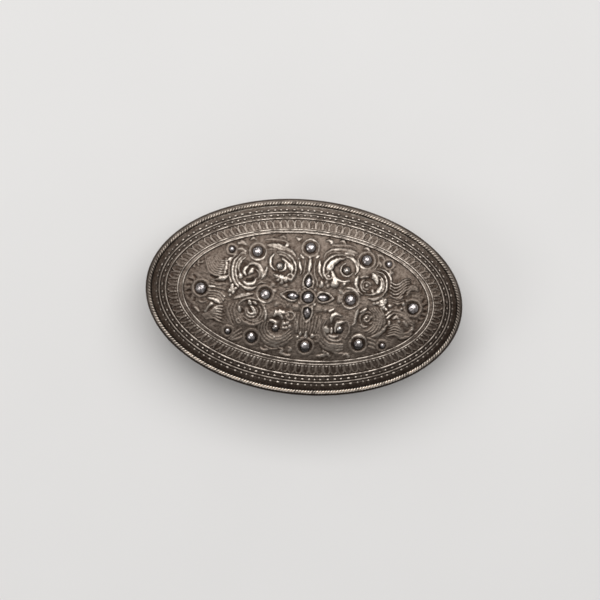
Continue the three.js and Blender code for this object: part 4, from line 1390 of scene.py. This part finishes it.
def wire_silver(name, worn_and_lit, flank, broken):
    """Worn bright along the top and painted bright there as lit from above, painted dark on the flanks as
    shade, with the bright top in patches that a higher number breaks up more
    """
    s = Shader(name)
    height = s.plus(s.values("relief"), s.unevenness(2.4, broken, detail=5, roughness=0.6))
    worn = s.times(s.spread(height, -0.1, 1.5), s.values("shine"))
    s.set(Base_Color=s.blend(worn, flank, worn_and_lit), Metallic=1.0,
          Roughness=s.spread(worn, 0, 1, DULL_ROUGHNESS, WORN_ROUGHNESS))
    s.bump(s.noise(0.3, detail=2), 0.03)
    return s.material


def polished_silver(name, bright, film, roughness):
    """Blotched with a thin film; dark at the foot, partly patina and partly painted shade, and on the front
    halves of the front domes as painted shade; with a painted highlight where the relief value is highest
    """
    s = Shader(name)
    blotches = s.spread(s.noise(0.8, detail=5), 0.35, 0.65)
    # Painted highlight where the relief value is highest; the dark foot colour, patina and painted shade,
    # where it is low
    colour = s.blend(s.spread(s.values("relief"), 1, 1.35), s.blend(blotches, bright, film), PAINTED_HIGHLIGHT)
    colour = s.blend(s.spread(s.values("relief"), 0.22, 0.85), FOOT_FILM_AND_SHADE, colour)
    s.set(Base_Color=colour, Metallic=1.0, Roughness=s.spread(blotches, 0, 1, *roughness))
    s.bump(s.noise(0.8, detail=3), 0.15)
    return s.material


def inner_silver():
    """Lighter and more even, as inside and under the box"""
    s = Shader("inner_silver")
    marks = s.times(s.noise(0.8, detail=3, stretch=(1, 4, 1)), 0.4)
    patches = s.spread(s.plus(s.noise(8, detail=7, roughness=0.6), marks), 0.5, 1)
    s.set(Base_Color=s.blend(patches, INNER_DARK, INNER_LIGHT), Metallic=1.0,
          Roughness=s.spread(patches, 0, 1, DULL_ROUGHNESS, WORN_ROUGHNESS))
    s.bump(s.plus(s.facets(2.6), s.times(s.noise(0.3, detail=2), 0.1)), 0.1)
    return s.material


# Base and lid walls

EDGE_ROUNDING = 0.3
LID_EDGE_ROUNDING = 0.2
FOOT_SPLAY = 0.4
FOOT_WIDTH = 1.2
BELLY_Z = 9.6
NECK_Z = box_mm("base_rim_moulding")[0][2]
WALL_BOTTOM_INSET = outer_inset("base_plate") + 0.2
WALL_STEPS = 26
WALL_COLUMNS = 400
MOUTH_ROUNDING = 0.2
SOLDER_OVERLAP = 0.1
MOULDING_STEPS = 17


def strip(node, width, radius, splay=0.0):
    """The outline of an upright strip of sheet, which leans in by the splay"""
    low, high = box_mm(node)
    outside = outer_inset(node)
    inside = outside + splay + width
    corners = [(outside, low[2]), (outside + splay, high[2]), (inside, high[2]), (inside, low[2])]
    return rounded(corners, radius)


def base_pieces(outside, edge, inside):
    foot = strip("foot_rim", FOOT_WIDTH, EDGE_ROUNDING, FOOT_SPLAY)
    oval_ring("foot_rim_turned", foot, outside, "base", "foot_rim", unevenness=0)
    oval_ring("base_wall_raised", wall_profile(), outside, "base", "base_wall", columns=WALL_COLUMNS)
    moulding = moulding_profile("base_rim_moulding")
    oval_ring("base_rim_moulding_drawn", moulding, edge, "base", "base_rim_moulding")
    collar = strip("inner_collar", SHEET, EDGE_ROUNDING)
    oval_ring("inner_collar_bent", collar, inside, "base", "inner_collar", unevenness=0.01)


def wall_profile():
    """The wall bellies out from the plate, draws in to the neck and rises straight to the mouth"""
    low, high = box_mm("base_wall")
    bottom, top = low[2], high[2]
    belly_inset = outer_inset("base_wall")
    outside = []
    for z in np.linspace(bottom, NECK_Z, WALL_STEPS):
        end_z, end_inset = (bottom, WALL_BOTTOM_INSET) if z < BELLY_Z else (NECK_Z, CROWN_INSET)
        way = (z - BELLY_Z) / (end_z - BELLY_Z)
        outside.append((belly_inset + (end_inset - belly_inset) * way**2, z))
    mouth = [(CROWN_INSET, top - MOUTH_ROUNDING), (CROWN_INSET + MOUTH_ROUNDING, top),
             (CROWN_INSET + SHEET - MOUTH_ROUNDING, top), (CROWN_INSET + SHEET, top - MOUTH_ROUNDING)]
    inside = [(inset + SHEET, z) for inset, z in outside[::-1]]
    return outside + mouth + inside


def moulding_profile(node):
    """A half-round moulding with its flat side inwards"""
    low, high = box_mm(node)
    back = CROWN_INSET - SOLDER_OVERLAP
    angles = np.linspace(-np.pi / 2, np.pi / 2, MOULDING_STEPS)
    z = (low[2] + high[2]) / 2 + (high[2] - low[2]) / 2 * np.sin(angles)
    inset = back - (back - outer_inset(node)) * np.sqrt(np.clip(np.cos(angles), 0, None))
    return np.column_stack([inset, z])


PLATE_COLUMNS = 240
PLATE_INNER_INSET = 17
PLATE_BORDER = 3
PLATE_ROUNDING = 0.2


def base_plate(material):
    """A flat plate with rounded edges, its rings from the underside's middle round to the top's"""
    low, high = box_mm("base_plate")
    bottom, top = low[2], high[2]
    edge = outer_inset("base_plate")
    angles = turns_of(PLATE_COLUMNS)
    outline = [(PLATE_INNER_INSET, bottom), (edge + PLATE_BORDER, bottom), (edge + PLATE_ROUNDING, bottom),
               (edge, bottom + PLATE_ROUNDING), (edge, top - PLATE_ROUNDING), (edge + PLATE_ROUNDING, top),
               (edge + PLATE_BORDER, top), (PLATE_INNER_INSET, top)]
    rows = [np.column_stack([*oval(inset, angles), np.full(PLATE_COLUMNS, z)]) for inset, z in outline]
    points = np.vstack([*rows, [[0, 0, bottom], [0, 0, top]]])
    first_ring = np.arange(PLATE_COLUMNS)
    last_ring = first_ring + (len(outline) - 1) * PLATE_COLUMNS
    bottom_middle = len(outline) * PLATE_COLUMNS
    tips = fan_faces(first_ring[::-1], bottom_middle) + fan_faces(last_ring, bottom_middle + 1)
    faces = [grid_faces(len(outline), PLATE_COLUMNS), tips]
    make_piece("base_plate_flat", points, faces, "base", "base_plate", material)


def lid_walls(outside, edge):
    wall = strip("lid_wall", SHEET, LID_EDGE_ROUNDING)
    oval_ring("lid_wall_bent", wall, outside, "lid", "lid_wall", unevenness=0)
    moulding = moulding_profile("lid_mouth_moulding")
    oval_ring("lid_mouth_moulding_drawn", moulding, edge, "lid", "lid_mouth_moulding", unevenness=0)


# Studio, in metres

FLOOR_COLUMNS = 96
FLOOR_PROFILE = ((0.3, 0), (1, 0), (2.2, 0), (2.7, 0.04), (3.1, 0.18), (3.35, 0.45), (3.45, 0.9))
WORLD_STRENGTH = 0.32

# Place, size and power of each lamp
LAMPS = {
    "key": ((0.0, 0.52, 1.2), (1.5, 1.1), 16.5),
    "fill": ((-0.9, -0.35, 0.9), (0.4, 0.4), 1.5),
}


def lay_floor():
    """A round floor of pale paper that curves up at its edge"""
    turns = turns_of(FLOOR_COLUMNS)
    rings = [[r * math.cos(a), r * math.sin(a), z] for r, z in FLOOR_PROFILE for a in turns]
    middle_faces = fan_faces(np.arange(FLOOR_COLUMNS) + 1, 0)
    ring_faces = (grid_faces(len(FLOOR_PROFILE), FLOOR_COLUMNS) + 1)[:, ::-1]
    mesh = bpy.data.meshes.new("floor")
    mesh.from_pydata([[0, 0, 0], *rings], [], middle_faces + ring_faces.tolist())
    mesh.shade_smooth()
    floor = bpy.data.objects.new("floor", mesh)
    bpy.context.scene.collection.objects.link(floor)
    s = Shader("floor_paper")
    s.set(Base_Color=s.blend(s.noise(60, detail=2), FLOOR_DARK, FLOOR_LIGHT), Roughness=0.9,
          Specular_IOR_Level=0.1)
    mesh.materials.append(s.material)


def light():
    world = bpy.data.worlds.new("studio")
    world.use_nodes = True
    background = world.node_tree.nodes["Background"]
    background.inputs["Color"].default_value = (1, 1, 1, 1)
    background.inputs["Strength"].default_value = WORLD_STRENGTH
    bpy.context.scene.world = world
    for name, (place, size, power) in LAMPS.items():
        lamp = bpy.data.lights.new(name, "AREA")
        lamp.shape = "RECTANGLE"
        lamp.size, lamp.size_y = size
        lamp.energy = power
        holder = bpy.data.objects.new(name, lamp)
        holder.location = place
        holder.rotation_mode = "QUATERNION"
        holder.rotation_quaternion = (-Vector(place)).to_track_quat("-Z", "Y")
        bpy.context.scene.collection.objects.link(holder)


def camera():
    """Almost straight above, leaning a little to the far side and rolled as the photograph is"""
    lens, sensor = 190, 36
    nearest, farthest = 0.05, 20
    picture_width = 600
    mm_per_pixel = 0.3137
    lean, roll = math.radians(1), math.radians(5.5)
    middle = Vector((0, 0, 22))
    middle_pixel = (304, 297.5)
    distance = picture_width * mm_per_pixel * lens / sensor
    offset = Vector(((picture_width / 2 - middle_pixel[0]) * mm_per_pixel,
                     (middle_pixel[1] - picture_width / 2) * mm_per_pixel, distance))
    data = bpy.data.cameras.new("camera")
    data.lens, data.sensor_width = lens, sensor
    data.clip_start, data.clip_end = nearest, farthest
    cam = bpy.data.objects.new("camera", data)
    bpy.context.scene.collection.objects.link(cam)
    bpy.context.scene.camera = cam
    turn = Matrix.Rotation(roll, 4, "Z") @ Matrix.Rotation(-lean, 4, "X")
    cam.matrix_world = Matrix.Translation((middle + turn.to_3x3() @ offset) * MM) @ turn
    bpy.context.scene.view_settings.view_transform = "Standard"


# The scene

camera()
chased, inner = chased_silver(), inner_silver()
walls = wall_silver("wall_silver", WALL_DARK, WALL_LIGHT, WORN_AND_HIGHLIGHT)
edge = wall_silver("edge_silver", EDGE_DARK, EDGE_LIGHT, SATIN, EDGE_FRONT_SHADE)
polished = polished_silver("polished_silver", POLISHED, FILM, (0.12, 0.22))
dulled = polished_silver("dulled_silver", DULLED, SATIN, (0.18, 0.32))
rope_silver = wire_silver("rope_silver", ROPE_WORN_AND_LIT, ROPE_FLANK, broken=4)
bright_wires = wire_silver("bright_wire_silver", WIRE_WORN_AND_LIT, WIRE_FLANK, broken=8)
dull_wires = wire_silver("dull_wire_silver", BEAD_WORN_AND_LIT, BEAD_FLANK, broken=3)
base_pieces(walls, edge, inner)
base_plate(inner)
lid_walls(walls, edge)
crown_panel(chased)
crown_border(chased)
rope_wire(rope_silver)
for node in ("outer_beaded_wire", "inner_beaded_wire"):
    beaded_wire(node, dull_wires)
for node in ("wire_between_beads", "petal_band_outer_wire", "petal_band_inner_wire", "panel_frame_wire"):
    plain_wire(node, bright_wires)
for node in BOSSES:
    boss(node, dulled if node.startswith("eye") else polished)
lay_floor()
light()
